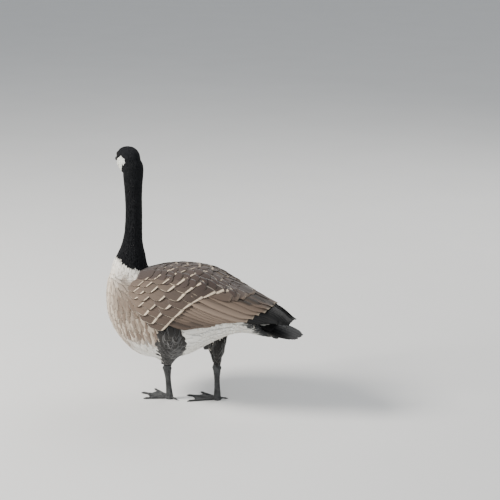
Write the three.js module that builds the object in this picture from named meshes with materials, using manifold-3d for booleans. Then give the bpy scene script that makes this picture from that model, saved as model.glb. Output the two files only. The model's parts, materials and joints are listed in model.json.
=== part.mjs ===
// A life-size Canada goose that stands with one foot forward and its head turned to its right.
// Millimetres, +Z up. The breast faces -X, the left wing is on the -Y side, and the floor is at Z = 0.

import * as THREE from "three";
import { mergeVertices } from "three/addons/utils/BufferGeometryUtils.js";
import Module from "manifold-3d";

const wasm = await Module();
wasm.setup();

// Driving dimensions.
const GAP = 0.3; // between pieces that touch
const FAR = 2000; // half size of a cutting block
const FULL_SECTION = 2.3; // a section's fullness: 2 is an ellipse, and more is boxier
const MIDDLE = 29.8; // the middle of the bird's length, which the model is centred on
const degrees = Math.PI / 180;

// The trunk in rings from the breast to the tail's root: x, height of the widest point, half width,
// rise to the back, and drop to the belly.
const TRUNK = [
  [-249, 284, 6, 12, 14],
  [-246, 286, 38, 56, 46],
  [-234, 284, 66, 86, 80],
  [-207, 278, 89, 100, 110],
  [-165, 268, 106, 96, 137],
  [-115, 256, 114, 110, 139],
  [-55, 253, 117, 127, 132],
  [5, 261, 115, 124, 119],
  [60, 274, 103, 101, 96],
  [110, 280, 87, 70, 73],
  [155, 277, 69, 45, 53],
  [190, 262, 54, 28, 38],
  [218, 244, 45, 12, 23],
  [242, 235, 38, 5, 12],
  [258, 232, 30, 2, 4],
];

// The neck in rings from inside the breast to inside the head: x, height, half length and half width.
const NECK = [
  [-165, 296, 78, 74],
  [-178, 330, 68, 64],
  [-190, 360, 56, 52],
  [-190, 385, 49, 42],
  [-185, 408, 41, 36],
  [-182, 435, 31.5, 29],
  [-178, 470, 26.5, 25.5],
  [-175, 520, 25, 24],
  [-175, 570, 25.2, 24],
  [-175, 615, 28, 25.5],
  [-174, 645, 29.5, 26.5],
  [-172, 663, 26, 24],
  [-170, 676, 17, 16],
];
const COLLAR = { front: [-226, 402], back: [-137, 363] }; // where the black of the neck ends
const THROAT_HEIGHT = 622; // where the head meets the neck

// The head, on its own axes: the bill points to -X, and X = 0 is the neck's axis.
const HEAD_AT = [-176, 0];
const HEAD_TURN = -39 * degrees;
const HEAD = [
  [21, 668, 6, 8, 10],
  [16, 670, 16, 24, 26],
  [3, 673, 23.5, 31.5, 42],
  [-14, 675, 27.5, 33, 48],
  [-32, 675, 29, 32.5, 47],
  [-48, 673, 27.5, 31.5, 38],
  [-60, 670, 21, 25, 26],
  [-68, 667, 13, 15, 14],
];
const BILL_ROOT = -63;
const BILL = [
  [-57, 668, 14, 18.5, 14.5],
  [-68, 666, 13, 15.5, 13],
  [-80, 664, 12, 11.5, 10.5],
  [-92, 662, 11, 8.6, 7.8],
  [-101, 660.5, 9, 6.6, 5.6],
  [-106.5, 659.5, 5.4, 4.6, 3.4],
  [-108.5, 659, 1.5, 1.5, 1.2],
];
const MOUTH_HEIGHT = 660.5;
const MOUTH_TILT = 2.5 * degrees;
const MOUTH_LINE = 0.5;
const NOSTRIL = { x: -79, height: 669, length: 5.5, rise: 2, depth: 3.5, out: 10.5, turn: -12 * degrees };
const EYE = { x: -42, out: 22.4, height: 686, radius: 6.4 };
const EYELID = { ring: 5.4, tube: 1.3, out: 3.9, turn: 12 * degrees };

// The outer surface of a folded wing, in rings from the wrist to the tip: x, height of the widest
// point, half width, rise to the back, and drop below.
const WING_SKIN = [
  [-150, 266, 105, 102, 100],
  [-100, 262, 120, 117, 100],
  [-50, 261, 126, 127, 100],
  [0, 262, 125, 128, 100],
  [50, 266, 118, 119, 90],
  [100, 269, 104, 95, 80],
  [150, 270, 86, 73, 60],
  [200, 268, 67, 56, 45],
  [250, 262, 50, 42, 30],
  [300, 252, 38, 22, 20],
];
const WING_STEP = 50;
const WING_FALL = 0.2; // how steeply the surface falls beyond its rings
const WING_CORE = {
  front: -128, back: 216, low: -5, lowBack: 4, high: 91, sunk: 34, sunkBack: 6, thick: 1.2,
  bluntness: 0.4, rise: 1.5, reach: 100,
};

// The wing's rows of feathers, from the lowest layer to the uppermost. Roots and tips are lines in
// the wing's own x and angle in degrees, and half and lift go from the first feather to the last and
// from the root to the tip.
const WING_ROWS = {
  primaries: {
    roots: [[150, 14], [155, 46]], tips: [[238, 12], [262, 22], [284, 34], [298, 46]],
    count: 5, half: [10, 12], lift: [-4.5, -2], sunk: 0.7, tilt: 1,
  },
  secondaries: {
    roots: [[0, 4], [90, 22]], tips: [[62, -3], [112, 0], [160, 6], [204, 10]],
    count: 6, half: [12, 14], lift: [-1.5, 1.4],
  },
  tertials: {
    roots: [[60, 30], [84, 82]], tips: [[208, 11], [222, 24], [238, 42], [247, 60], [240, 80]],
    count: 5, half: [14, 18], lift: [-1, 2.2], sunk: 1.2,
  },
  rearScapulars: {
    roots: [[78, 60], [70, 84]], tips: [[152, 62], [178, 83]],
    count: 2, half: [15, 16], lift: [-1, 3.6],
  },
  greaterCoverts: {
    roots: [[-70, 1], [0, 32], [66, 64]], tips: [[-14, -3], [60, 26], [128, 60]],
    count: 6, half: [15, 18], lift: [-1.5, 2.6],
  },
  medianCoverts: {
    roots: [[-92, 7], [-14, 44], [44, 78]], tips: [[-44, 2], [34, 37], [98, 78]],
    count: 6, half: [14, 17], lift: [-1.5, 3.1],
  },
  lesserCoverts: {
    roots: [[-110, 16], [-44, 54], [10, 84]], tips: [[-72, 9], [2, 47], [58, 83]],
    count: 6, half: [14, 17], lift: [-1.5, 3.5],
  },
  frontCoverts: {
    roots: [[-122, 28], [-78, 62], [-30, 84]], tips: [[-92, 18], [-30, 58], [18, 85]],
    count: 5, half: [14, 17], lift: [-1.5, 3.8],
  },
};

// The tail's upper surface: an arch of feathers that fans out and slopes down.
const TAIL = {
  root: 204, tip: 321, rootHeight: 262, slope: 0.28, rootHalf: 36, tipHalf: 45, droop: 6,
  corner: 78 * degrees, coreEnd: 262, rootThick: 24, coreThick: 5, taper: 0.7, widening: 0.7,
};
const TAIL_ROWS = {
  rectrices: {
    roots: [[226, -62], [228, 0], [226, 62]],
    tips: [[288, -72], [306, -52], [318, -26], [321, 0], [318, 26], [306, 52], [288, 72]],
    count: 12, half: [10, 10], lift: [-3, -1], sunk: 0.8, tilt: 0.9,
  },
  coverts: {
    roots: [[206, -60], [208, 0], [206, 60]],
    tips: [[248, -66], [262, -30], [266, 0], [262, 30], [248, 66]],
    count: 5, half: [12, 12], lift: [-1.5, 1.6],
  },
};
const FEATHER = { sunk: 3, tilt: 0.8, uneven: 0.6 }; // a feather's underside, its tilt and its scatter
const FEATHER_DEPTH = 5; // how far the wing's feathers stand off its core

// Each leg from the flank down: rings of the feathered thigh (x, y, height, half length, half width),
// the ankle, and where the shank meets the foot.
const LEGS = {
  left: {
    thigh: [
      [-14, -82, 268, 36, 30],
      [-20, -86, 236, 46, 35],
      [-28, -83, 198, 48, 35],
      [-42, -64, 158, 40, 29],
      [-56, -44, 124, 22, 18],
      [-62, -35, 106, 13, 12],
    ],
    ankle: [-65, -31, 94],
    foot: [-63, -22, 10],
  },
  right: {
    thigh: [
      [18, 80, 268, 36, 30],
      [22, 84, 238, 44, 34],
      [30, 76, 202, 45, 34],
      [44, 58, 162, 31, 26],
      [55, 40, 126, 17, 15],
      [59, 33, 104, 12, 11.5],
    ],
    ankle: [60, 31, 92],
    foot: [65, 22, 10],
  },
};
const SHANK = { top: [9.5, 8.5], ankle: [12.5, 10], middle: [8.6, 7.2], foot: [10.5, 8.4] };
const ANKLE_JOINT = [14, 10.6, 11];
const HEEL = [12, 11]; // the foot's root on the floor
const TOES = {
  inner: { turn: 30, length: 64, root: 5.2, tip: 3 },
  middle: { turn: 0, length: 82, root: 6, tip: 3.2 },
  outer: { turn: -30, length: 76, root: 5.4, tip: 3 },
};
const KNUCKLES = { rise: 0.1, count: 3, height: 0.8 };
const TOE_IN = 4 * degrees;
const HIND_TOE = { length: 20, root: 4.2, tip: 2.6, lift: 3, out: 14 };
const CLAW = { length: 10, droop: 0.9, root: 1.05, point: 0.8, curve: 1.3 };
const WEB = { thick: 2.4, reach: 0.93, notch: 0.74 };

// A seeded draw from -1 to 1, so that feathers differ a little and always the same way.
let seed = 7;
function draw() {
  seed = (seed * 16807) % 2147483647;
  return (seed / 2147483647) * 2 - 1;
}

const mix = THREE.MathUtils.lerp;

// The point of a table's smooth curve at t, which counts its rows from 0.
function between(rows, t) {
  const last = rows.length - 1;
  const i = Math.min(Math.max(Math.floor(t), 0), last - 1);
  const f = Math.min(Math.max(t - i, 0), 1);
  const row = (k) => rows[Math.min(Math.max(k, 0), last)];
  const [a, b, c, d] = [row(i - 1), row(i), row(i + 1), row(i + 2)];
  return b.map((value, k) => {
    const [start, end] = [(c[k] - a[k]) / 2, (d[k] - value) / 2];
    const rest = c[k] - value;
    return value + f * (start + f * (3 * rest - 2 * start - end + f * (start + end - 2 * rest)));
  });
}

// A closed geometry as a solid, whichever way its faces are wound.
function solidOf(geometry) {
  geometry.deleteAttribute("normal");
  geometry.deleteAttribute("uv");
  const merged = mergeVertices(geometry, 1e-4);
  const kept = [];
  for (let i = 0; i < merged.index.count; i += 3) {
    const [a, b, c] = [0, 1, 2].map((k) => merged.index.getX(i + k));
    if (a !== b && b !== c && c !== a) kept.push(a, b, c);
  }
  const build = (corners) =>
    new wasm.Manifold(
      new wasm.Mesh({
        numProp: 3,
        vertProperties: merged.attributes.position.array,
        triVerts: new Uint32Array(corners),
      }),
    );
  const made = build(kept);
  return made.volume() > 0 ? made : build(kept.reverse());
}

// A cylinder's rings laid out by place(t, angle, r): t runs from 0 to 1 along it, and r is 0 on its
// axis and 1 on its surface.
function loft(sides, rings, place) {
  const geometry = new THREE.CylinderGeometry(1, 1, 1, sides, rings);
  const positions = geometry.attributes.position;
  for (let i = 0; i < positions.count; i += 1) {
    const [x, y, z] = [positions.getX(i), positions.getY(i), positions.getZ(i)];
    const point = place(0.5 - y, Math.atan2(z, x), Math.hypot(x, z) > 0.5 ? 1 : 0);
    positions.setXYZ(i, ...point);
  }
  return solidOf(geometry);
}

// A point of a full oval section, in the plane of Y and Z.
function onSection([x, z, half, up, down], angle, r, grow = 0) {
  const power = 2 / FULL_SECTION;
  const [c, s] = [Math.cos(angle), Math.sin(angle)];
  const across = Math.sign(c) * Math.abs(c) ** power * (half + grow) * r;
  const rise = Math.sign(s) * Math.abs(s) ** power * ((s > 0 ? up : down) + grow) * r;
  return [x, across, z + rise];
}

function sectionLoft(rows, sides, rings, grow = 0) {
  return loft(sides, rings, (t, angle, r) => {
    const row = between(rows, t * (rows.length - 1));
    const end = t === 0 ? -1 : t === 1 ? 1 : 0;
    const way = Math.sign(rows[rows.length - 1][0] - rows[0][0]);
    const [x, y, z] = onSection(row, angle, r, grow);
    return [x + end * way * grow, y, z];
  });
}

const union = (solids) => wasm.Manifold.union(solids);

// The largest closed body of a solid, without loose scraps or sealed hollows.
function largest(solid) {
  const bodies = solid.decompose().filter((body) => body.volume() > 0);
  return bodies.reduce((best, body) => (body.volume() > best.volume() ? body : best));
}

function block(width, depth, height, turn, at) {
  const geometry = new THREE.BoxGeometry(width, depth, height);
  geometry.applyMatrix4(new THREE.Matrix4().makeRotationFromEuler(new THREE.Euler(...turn)));
  geometry.translate(...at);
  return solidOf(geometry);
}

// Everything above a plane that leans along X and passes through a point, raised by lift.
function above([x, z], lean, lift) {
  const up = new THREE.Vector3(0, 0, FAR + lift).applyEuler(new THREE.Euler(0, lean, 0));
  return block(2 * FAR, 2 * FAR, 2 * FAR, [0, lean, 0], [x + up.x, up.y, z + up.z]);
}

function ball(radius, at) {
  return solidOf(new THREE.SphereGeometry(radius, 12, 8).translate(...at));
}

const trunk = (grow = 0) => sectionLoft(TRUNK, 24, 20, grow);

// The neck as one column, and the head as it stands on it.
function neckColumn(grow = 0) {
  return loft(20, 18, (t, angle, r) => {
    const [x, z, long, wide] = between(NECK, t * (NECK.length - 1));
    return [x + Math.cos(angle) * (long + grow) * r, Math.sin(angle) * (wide + grow) * r, z];
  });
}

const turnHead = new THREE.Matrix4()
  .makeTranslation(...HEAD_AT, 0)
  .multiply(new THREE.Matrix4().makeRotationZ(HEAD_TURN));

const asTurned = (solid) => solid.transform(turnHead.elements);

const collarPlane = (lift) => {
  const { front, back } = COLLAR;
  return above(back, Math.atan2(front[1] - back[1], back[0] - front[0]), lift);
};

function torso() {
  return largest(union([trunk(), neckColumn().subtract(collarPlane(-GAP / 2))]));
}

function neck() {
  const column = neckColumn().intersect(collarPlane(GAP / 2)).subtract(trunk(GAP));
  return largest(column.subtract(above([0, THROAT_HEIGHT], 0, -GAP / 2)));
}

function eyeBall(side, grow = 0) {
  return ball(EYE.radius + grow, [EYE.x, side * EYE.out, EYE.height]);
}

function eyelid(side) {
  const ring = new THREE.TorusGeometry(EYELID.ring, EYELID.tube, 5, 14);
  ring.rotateX(Math.PI / 2).rotateZ(side * EYELID.turn);
  return solidOf(ring.translate(EYE.x, side * (EYE.out + EYELID.out), EYE.height));
}

function bill() {
  return sectionLoft(BILL, 16, 12).subtract(above([BILL_ROOT, 0], Math.PI / 2, 0));
}

function mouthCut(lift) {
  return above([BILL_ROOT, MOUTH_HEIGHT], -MOUTH_TILT, lift);
}

function nostril(side) {
  const pit = new THREE.SphereGeometry(1, 10, 6);
  pit.scale(NOSTRIL.length, NOSTRIL.depth, NOSTRIL.rise).rotateY(NOSTRIL.turn);
  return solidOf(pit.translate(NOSTRIL.x, side * NOSTRIL.out, NOSTRIL.height));
}

function head() {
  const skull = sectionLoft(HEAD, 20, 14);
  const nape = neckColumn().intersect(above([0, THROAT_HEIGHT], 0, GAP / 2));
  const turned = asTurned(union([skull, eyelid(-1), eyelid(1)]));
  const whole = union([turned, nape]).intersect(above([0, THROAT_HEIGHT], 0, GAP / 2));
  const face = above([BILL_ROOT + GAP, 0], -Math.PI / 2, 0);
  const sockets = union([eyeBall(-1, GAP), eyeBall(1, GAP), face]);
  return largest(whole.subtract(asTurned(sockets)));
}

function upperBill() {
  const upper = bill().intersect(mouthCut(MOUTH_LINE / 2));
  return largest(asTurned(upper.subtract(union([nostril(-1), nostril(1)]))));
}

function lowerBill() {
  return largest(asTurned(bill().subtract(mouthCut(-MOUTH_LINE / 2))));
}

// A point of the folded wing's surface, h outside it: x along the body, and the angle up its side.
function onWing(x, angle, h, side) {
  const t = (x - WING_SKIN[0][0]) / WING_STEP;
  const [, z, half, up, down] = between(WING_SKIN, t);
  const beyond = x - Math.min(Math.max(x, WING_SKIN[0][0]), WING_SKIN.at(-1)[0]);
  const point = onSection([x, z, half, up, down], angle, 1, h);
  return new THREE.Vector3(x, side * point[1], point[2] - Math.abs(beyond) * WING_FALL);
}

const VANE_WIDTHS = [[0.5], [0.86], [1], [0.9], [0.4]]; // the share of a feather's width along it
const VANE_THICK = 0.8;
const VANE_RINGS = 3;
const VANE_SPACING = 0.8; // under 1 draws the rings towards the tip

// A feather on a curved surface: on(a, b, h) gives the surface's points, and from and to are the
// surface's a and b at the root and at the tip. One edge is tilt higher than the shaft.
function vane(on, from, to, { half, lift, sunk, tilt }) {
  const step = 0.01;
  return loft(4, VANE_RINGS, (share, angle, r) => {
    const t = share ** VANE_SPACING;
    const [wide] = between(VANE_WIDTHS, t * (VANE_WIDTHS.length - 1));
    const [a, b] = [mix(from[0], to[0], t), mix(from[1], to[1], t)];
    const here = on(a, b, 0);
    const alongA = on(a + step, b, 0).sub(here).divideScalar(step);
    const alongB = on(a, b + step, 0).sub(here).divideScalar(step);
    const ahead = alongA.clone().multiplyScalar(to[0] - from[0]);
    ahead.addScaledVector(alongB, to[1] - from[1]).normalize();
    const out = on(a, b, 1).sub(here).normalize();
    const across = new THREE.Vector3().crossVectors(ahead, out).normalize();
    const side = Math.cos(angle) * r;
    const high = Math.sin(angle) * r;
    const h = mix(lift[0], lift[1], t) + side * tilt + high * (high > 0 ? VANE_THICK : sunk);
    const moveA = (across.dot(alongA) * side * half * wide) / alongA.lengthSq();
    const moveB = (across.dot(alongB) * side * half * wide) / alongB.lengthSq();
    return on(a + moveA, b + moveB, h).toArray();
  });
}

// A row of feathers whose roots and tips lie along two lines on the surface.
function featherRow(on, row, mirror = 1) {
  const { roots, tips, count, half, lift, sunk = FEATHER.sunk, tilt = FEATHER.tilt } = row;
  return Array.from({ length: count }, (_, i) => {
    const q = i / (count - 1);
    const root = between(roots, q * (roots.length - 1));
    const tip = between(tips, q * (tips.length - 1));
    const from = [root[0] + draw(), root[1] * degrees];
    const to = [tip[0] + 2 * draw(), (tip[1] + FEATHER.uneven * draw()) * degrees];
    return vane(on, from, to, { half: mix(...half, q), lift, sunk, tilt: tilt * mirror });
  });
}

function wingCore(side, grow = 0) {
  const { front, back, low, lowBack, high, sunk, sunkBack, thick } = WING_CORE;
  const { bluntness, rise, reach } = WING_CORE;
  return loft(14, 12, (t, angle, r) => {
    const x = mix(front - grow, back + grow, (1 - Math.cos(Math.PI * t)) / 2);
    const full = Math.max(Math.sin(Math.PI * t), 0.01) ** bluntness;
    const lowest = mix(low, lowBack, t ** rise);
    const middle = ((lowest + high) / 2) * degrees;
    const spread = ((high - lowest) / 2) * degrees * full + grow / reach;
    const up = middle + Math.cos(angle) * r * spread;
    const out = Math.sin(angle) * r;
    const h = out > 0 ? out * (thick + grow) : out * (mix(sunk, sunkBack, t ** 2) + grow);
    return onWing(x, up, h * full, side).toArray();
  });
}

const wingClearance = (side) => wingCore(side, FEATHER_DEPTH);

function wing(side) {
  const ownSide = block(2 * FAR, FAR, 2 * FAR, [0, 0, 0], [0, side * (FAR / 2 + 1), 0]);
  const on = (x, angle, h) => onWing(x, angle, h, side);
  const feathers = Object.values(WING_ROWS).flatMap((row) => featherRow(on, row, side));
  const whole = union([wingCore(side), ...feathers]).intersect(ownSide);
  return largest(whole.subtract(union([trunk(GAP), neckColumn(GAP)])));
}

// A point of the tail's upper surface, h above it: x along the body, and the angle round its arch.
function onTail(x, angle, h) {
  const t = (x - TAIL.root) / (TAIL.tip - TAIL.root);
  const half = mix(TAIL.rootHalf, TAIL.tipHalf, t) + h * TAIL.widening;
  const top = TAIL.rootHeight - TAIL.slope * (x - TAIL.root);
  const z = top - TAIL.droop * (1 - Math.cos(angle)) + h;
  return new THREE.Vector3(x, half * Math.sin(angle), z);
}

function tailCore() {
  return loft(20, 6, (t, angle, r) => {
    const x = mix(TAIL.root, TAIL.coreEnd, t);
    const turn = Math.cos(angle) * r * TAIL.corner;
    const round = Math.sqrt(Math.max(1 - (Math.cos(angle) * r) ** 2, 0));
    const thick = mix(TAIL.rootThick, TAIL.coreThick, t ** TAIL.taper) * round;
    return onTail(x, turn, Math.sin(angle) * r > 0 ? Math.sin(angle) : -thick * r).toArray();
  });
}

function tail() {
  const on = (x, angle, h) => onTail(x, angle, h);
  const feathers = Object.values(TAIL_ROWS).flatMap((row) => featherRow(on, row));
  return largest(union([tailCore(), ...feathers]).subtract(trunk(GAP)));
}

// A limb between two points, as rings of a half length along X and a half width across it.
function limb(from, to, sizes, sides = 14, rings = 10) {
  return loft(sides, rings, (t, angle, r) => {
    const [long, wide] = between(sizes, t * (sizes.length - 1));
    const [x, y, z] = from.map((value, k) => mix(value, to[k], t));
    return [x + Math.cos(angle) * long * r, y + Math.sin(angle) * wide * r, z];
  });
}

function thigh(name, side) {
  const rows = LEGS[name].thigh;
  const leg = loft(20, 14, (t, angle, r) => {
    const [x, y, z, long, wide] = between(rows, t * (rows.length - 1));
    return [x + Math.cos(angle) * long * r, y + Math.sin(angle) * wide * r, z];
  });
  return largest(leg.subtract(union([trunk(GAP), wingClearance(side)])));
}

function shank(name) {
  const { thigh: rows, ankle, foot } = LEGS[name];
  const [endX, endY, endHeight] = rows[rows.length - 1];
  const top = [endX, endY, endHeight - GAP];
  const bone = [SHANK.ankle, SHANK.middle, SHANK.middle, SHANK.foot];
  const upper = limb(top, ankle, [SHANK.top, SHANK.ankle], 10, 3);
  const lower = limb(ankle, [foot[0], foot[1], foot[2] + GAP], bone, 10, 7);
  const joint = new THREE.SphereGeometry(1, 10, 8).scale(...ANKLE_JOINT).translate(...ankle);
  return largest(union([upper, lower, solidOf(joint)]));
}

// One toe from the foot's root, with low knuckles, and its claw just beyond its end.
function toe({ turn, length, root, tip }, heading) {
  const way = heading + turn * degrees;
  return loft(6, 7, (t, angle, r) => {
    const waves = t * KNUCKLES.count * 2 * Math.PI;
    const radius = mix(root, tip, t) * (1 + KNUCKLES.rise * Math.cos(waves)) * r;
    const [reach, across, up] = [t * length, Math.cos(angle) * radius, Math.sin(angle) * radius];
    return [
      -Math.cos(way) * reach + Math.sin(way) * across,
      -Math.sin(way) * reach - Math.cos(way) * across,
      mix(root, tip, t) * KNUCKLES.height + up,
    ];
  });
}

function web(first, second, heading) {
  const corner = ({ turn, length }, share) => {
    const way = heading + turn * degrees;
    return [-Math.cos(way) * length * share, -Math.sin(way) * length * share];
  };
  const [a, b] = [corner(first, WEB.reach), corner(second, WEB.reach)];
  const notch = corner(
    { turn: (first.turn + second.turn) / 2, length: (first.length + second.length) / 2 }, WEB.notch,
  );
  const outline = new THREE.Shape().moveTo(0, 0).lineTo(...a).quadraticCurveTo(...notch, ...b).closePath();
  const sheet = { depth: WEB.thick, bevelEnabled: false, curveSegments: 6 };
  return solidOf(new THREE.ExtrudeGeometry(outline, sheet));
}

function foot(name, side) {
  const at = LEGS[name].foot;
  const heading = side * TOE_IN;
  const toes = Object.values(TOES).map((spec) => toe({ ...spec, turn: -side * spec.turn }, heading));
  const turned = (spec) => ({ ...spec, turn: -side * spec.turn });
  const webs = [[TOES.inner, TOES.middle], [TOES.middle, TOES.outer]].map(([a, b]) =>
    web(turned(a), turned(b), heading));
  const root = limb([0, 0, 0], [0, 0, at[2]], [HEEL, SHANK.foot], 12, 3);
  const hindSpec = { ...HIND_TOE, turn: 180 + side * HIND_TOE.out };
  const hind = toe(hindSpec, heading).translate([0, 0, HIND_TOE.lift]);
  const whole = union([...toes, ...webs, root, hind]).translate([at[0], at[1], 0]);
  return largest(whole.intersect(above([0, 0], 0, 0)).subtract(above([0, at[2]], 0, 0)));
}

function claw(name, side, spec, hindLift = 0) {
  const at = LEGS[name].foot;
  const way = side * TOE_IN + spec.turn * degrees;
  const start = spec.length + GAP;
  return loft(6, 3, (t, angle, r) => {
    const radius = spec.tip * CLAW.root * (1 - CLAW.point * t ** CLAW.curve) * r;
    const reach = start + t * CLAW.length;
    const [across, up] = [Math.cos(angle) * radius, Math.sin(angle) * radius];
    const z = spec.tip * KNUCKLES.height - CLAW.droop * t ** 2;
    return [
      at[0] - Math.cos(way) * reach + Math.sin(way) * across,
      at[1] - Math.sin(way) * reach - Math.cos(way) * across,
      z + up + hindLift,
    ];
  }).intersect(above([0, 0], 0, 0));
}

const COLOURS = {
  black: { color: 0x17181a, roughness: 0.7 },
  breast: { color: 0xc9bda9, roughness: 0.85 },
  brown: { color: 0x6b5b4f, roughness: 0.8 },
  thigh: { color: 0x6a6259, roughness: 0.85 },
  tail: { color: 0x1c1d1f, roughness: 0.55 },
  horn: { color: 0x141414, roughness: 0.35 },
  leg: { color: 0x26282a, roughness: 0.5 },
  eye: { color: 0x1a0f08, roughness: 0.08 },
};

const goose = new THREE.Group();
goose.position.x = -MIDDLE;

function add(name, solid, finish) {
  const { vertProperties, triVerts, numProp } = solid.getMesh();
  const positions = new Float32Array((vertProperties.length / numProp) * 3);
  for (let i = 0; i < positions.length / 3; i += 1) {
    positions.set(vertProperties.subarray(i * numProp, i * numProp + 3), i * 3);
  }
  const geometry = new THREE.BufferGeometry();
  geometry.setAttribute("position", new THREE.BufferAttribute(positions, 3));
  geometry.setIndex(new THREE.BufferAttribute(triVerts, 1));
  geometry.computeVertexNormals();
  const material = new THREE.MeshStandardMaterial({ metalness: 0, ...COLOURS[finish] });
  const mesh = new THREE.Mesh(geometry, material);
  mesh.name = name;
  goose.add(mesh);
}

add("torso", torso(), "breast");
add("neck", neck(), "black");
add("head", head(), "black");
add("bill_upper", upperBill(), "horn");
add("bill_lower", lowerBill(), "horn");
add("tail", tail(), "tail");
for (const [name, side] of [["left", -1], ["right", 1]]) {
  add(`eye_${name}`, asTurned(eyeBall(side)), "eye");
  add(`wing_${name}`, wing(side), "brown");
  add(`thigh_${name}`, thigh(name, side), "thigh");
  add(`shank_${name}`, shank(name), "leg");
  add(`foot_${name}`, foot(name, side), "leg");
  for (const [digit, spec] of Object.entries(TOES)) {
    add(`claw_${name}_${digit}`, claw(name, side, { ...spec, turn: -side * spec.turn }), "horn");
  }
  const hind = { ...HIND_TOE, turn: 180 + side * HIND_TOE.out };
  add(`claw_${name}_hind`, claw(name, side, hind, HIND_TOE.lift), "horn");
}

export default goose;
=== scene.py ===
"""A still Canada goose in mid-step: one skin under laid feathers, with its bill, eyes and scaled legs."""

import json
import logging
import math
from dataclasses import dataclass, field
from enum import Enum

import bmesh
import bpy
import numpy as np
from mathutils import Matrix, Vector
from mathutils.bvhtree import BVHTree

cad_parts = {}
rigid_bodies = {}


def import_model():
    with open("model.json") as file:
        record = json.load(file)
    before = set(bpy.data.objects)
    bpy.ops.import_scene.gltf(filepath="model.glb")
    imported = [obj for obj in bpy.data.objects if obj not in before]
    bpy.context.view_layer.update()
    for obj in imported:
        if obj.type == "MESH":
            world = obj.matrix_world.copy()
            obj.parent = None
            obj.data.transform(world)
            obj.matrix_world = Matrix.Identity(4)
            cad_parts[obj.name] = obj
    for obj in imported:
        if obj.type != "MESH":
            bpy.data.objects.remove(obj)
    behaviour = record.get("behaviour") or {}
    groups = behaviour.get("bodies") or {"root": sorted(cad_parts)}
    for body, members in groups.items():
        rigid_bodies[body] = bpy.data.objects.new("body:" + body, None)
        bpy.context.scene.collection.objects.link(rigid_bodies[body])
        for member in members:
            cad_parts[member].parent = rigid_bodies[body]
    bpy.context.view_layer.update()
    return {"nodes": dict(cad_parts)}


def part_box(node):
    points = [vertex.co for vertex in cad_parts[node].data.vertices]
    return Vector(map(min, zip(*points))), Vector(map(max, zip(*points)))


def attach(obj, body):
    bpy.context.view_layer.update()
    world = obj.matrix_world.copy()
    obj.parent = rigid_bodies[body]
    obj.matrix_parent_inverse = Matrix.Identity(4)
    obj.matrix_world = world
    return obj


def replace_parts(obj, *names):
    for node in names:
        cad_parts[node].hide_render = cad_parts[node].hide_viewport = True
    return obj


LOG = logging.getLogger("goose")
Array = np.ndarray
Span = tuple[float, float]
Color = tuple[float, float, float, float]

MIDDLE = 0.0298  # the middle of the bird's length lies this far behind the point between its feet
SEED = 11
PATCH = 0.003  # a feather's patch on its piece's unwrap
FRAME_NODES: dict[str, str] = {}


class Side(Enum):
    """The two sides of the bird, by the sign of Y."""

    LEFT = -1
    RIGHT = 1

    @property
    def word(self) -> str:
        """The side's name in the frame's nodes."""
        return self.name.lower()


class Slot(Enum):
    """The record's material slots, which are passed along with the pieces but set nothing on them."""

    BLACK = "black_plumage"
    PALE = "pale_plumage"
    BROWN = "brown_plumage"
    QUILL = "flight_feather"
    WHITE = "white_plumage"
    HORN = "horn"
    LEG = "leg_skin"
    EYE = "eye"


def shade(red: float, green: float, blue: float) -> Array:
    """Turns a colour seen in daylight into the linear one that a shader takes.

    Args:
        red: red from 0 to 255.
        green: green from 0 to 255.
        blue: blue from 0 to 255.

    Returns:
        The linear colour as three numbers.
    """
    value = np.array([red, green, blue]) / 255.0
    return np.where(value <= 0.04045, value / 12.92, ((value + 0.055) / 1.055) ** 2.4)


BLACK = shade(24, 25, 27)
CROWN = shade(30, 31, 34)
CHEEK = shade(236, 236, 228)
NECK_WHITE = shade(236, 232, 222)
CREAM = shade(212, 198, 179)
FAWN = shade(130, 110, 95)
FLANK = shade(104, 88, 75)
MANTLE = shade(63, 50, 44)
SCAPULAR = shade(52, 42, 37)
COVERT = shade(84, 70, 60)
TERTIAL = shade(145, 126, 110)
CREAM_EDGE = shade(228, 208, 182)
DULL_EDGE = shade(132, 115, 100)
PRIMARY = shade(20, 19, 19)
TAIL_BLACK = shade(24, 24, 26)
BELLY = shade(226, 224, 216)
# the thigh's brown-grey and its edge, darkened with painted shade from the wing that hangs over it
SHADED_THIGH = shade(33, 31, 29)
SHADED_THIGH_EDGE = shade(48, 45, 41)
RUMP = shade(40, 37, 36)
# the tail's black, lightened to slate by a painted reflection of the sky
TAIL_BLACK_SKY_SHEEN = shade(44, 46, 47)
LID: Color = (0.004, 0.004, 0.004, 1.0)
LID_WORN: Color = (0.011, 0.011, 0.011, 1.0)
IRIS = shade(40, 23, 14)
PUPIL = shade(5, 4, 4)


def ease(value: Array, low: float, high: float) -> Array:
    """Rises smoothly from 0 at low to 1 at high.

    Args:
        value: the numbers to ease.
        low: where the rise starts.
        high: where it ends, which may be below low.

    Returns:
        The eased numbers, from 0 to 1.
    """
    t = np.clip((value - low) / (high - low), 0.0, 1.0)
    return t * t * (3.0 - 2.0 * t)


def blend(first: Array, second: Array, share: Array) -> Array:
    """Mixes two colours, or rows of them, by a share for each row."""
    return first + (second - first) * np.asarray(share)[..., None]


def unit(vectors: Array) -> Array:
    """Vectors of the same directions and of length 1."""
    return vectors / np.maximum(np.linalg.norm(vectors, axis=-1, keepdims=True), 1e-9)


def curve_row(rows: Array, t: Array) -> Array:
    """Points of the smooth curve through a table's rows.

    Args:
        rows: the table, a row for each step of t.
        t: where to read it, counted in rows from 0.

    Returns:
        A row for each t.
    """
    last = len(rows) - 1
    i = np.clip(np.floor(t).astype(int), 0, last - 1)
    f = np.clip(t - i, 0.0, 1.0)[..., None]
    a, b = rows[np.clip(i - 1, 0, last)], rows[i]
    c, d = rows[i + 1], rows[np.clip(i + 2, 0, last)]
    start, end, rest = (c - a) / 2, (d - b) / 2, c - b
    return b + f * (start + f * (3 * rest - 2 * start - end + f * (start + end - 2 * rest)))


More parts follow.
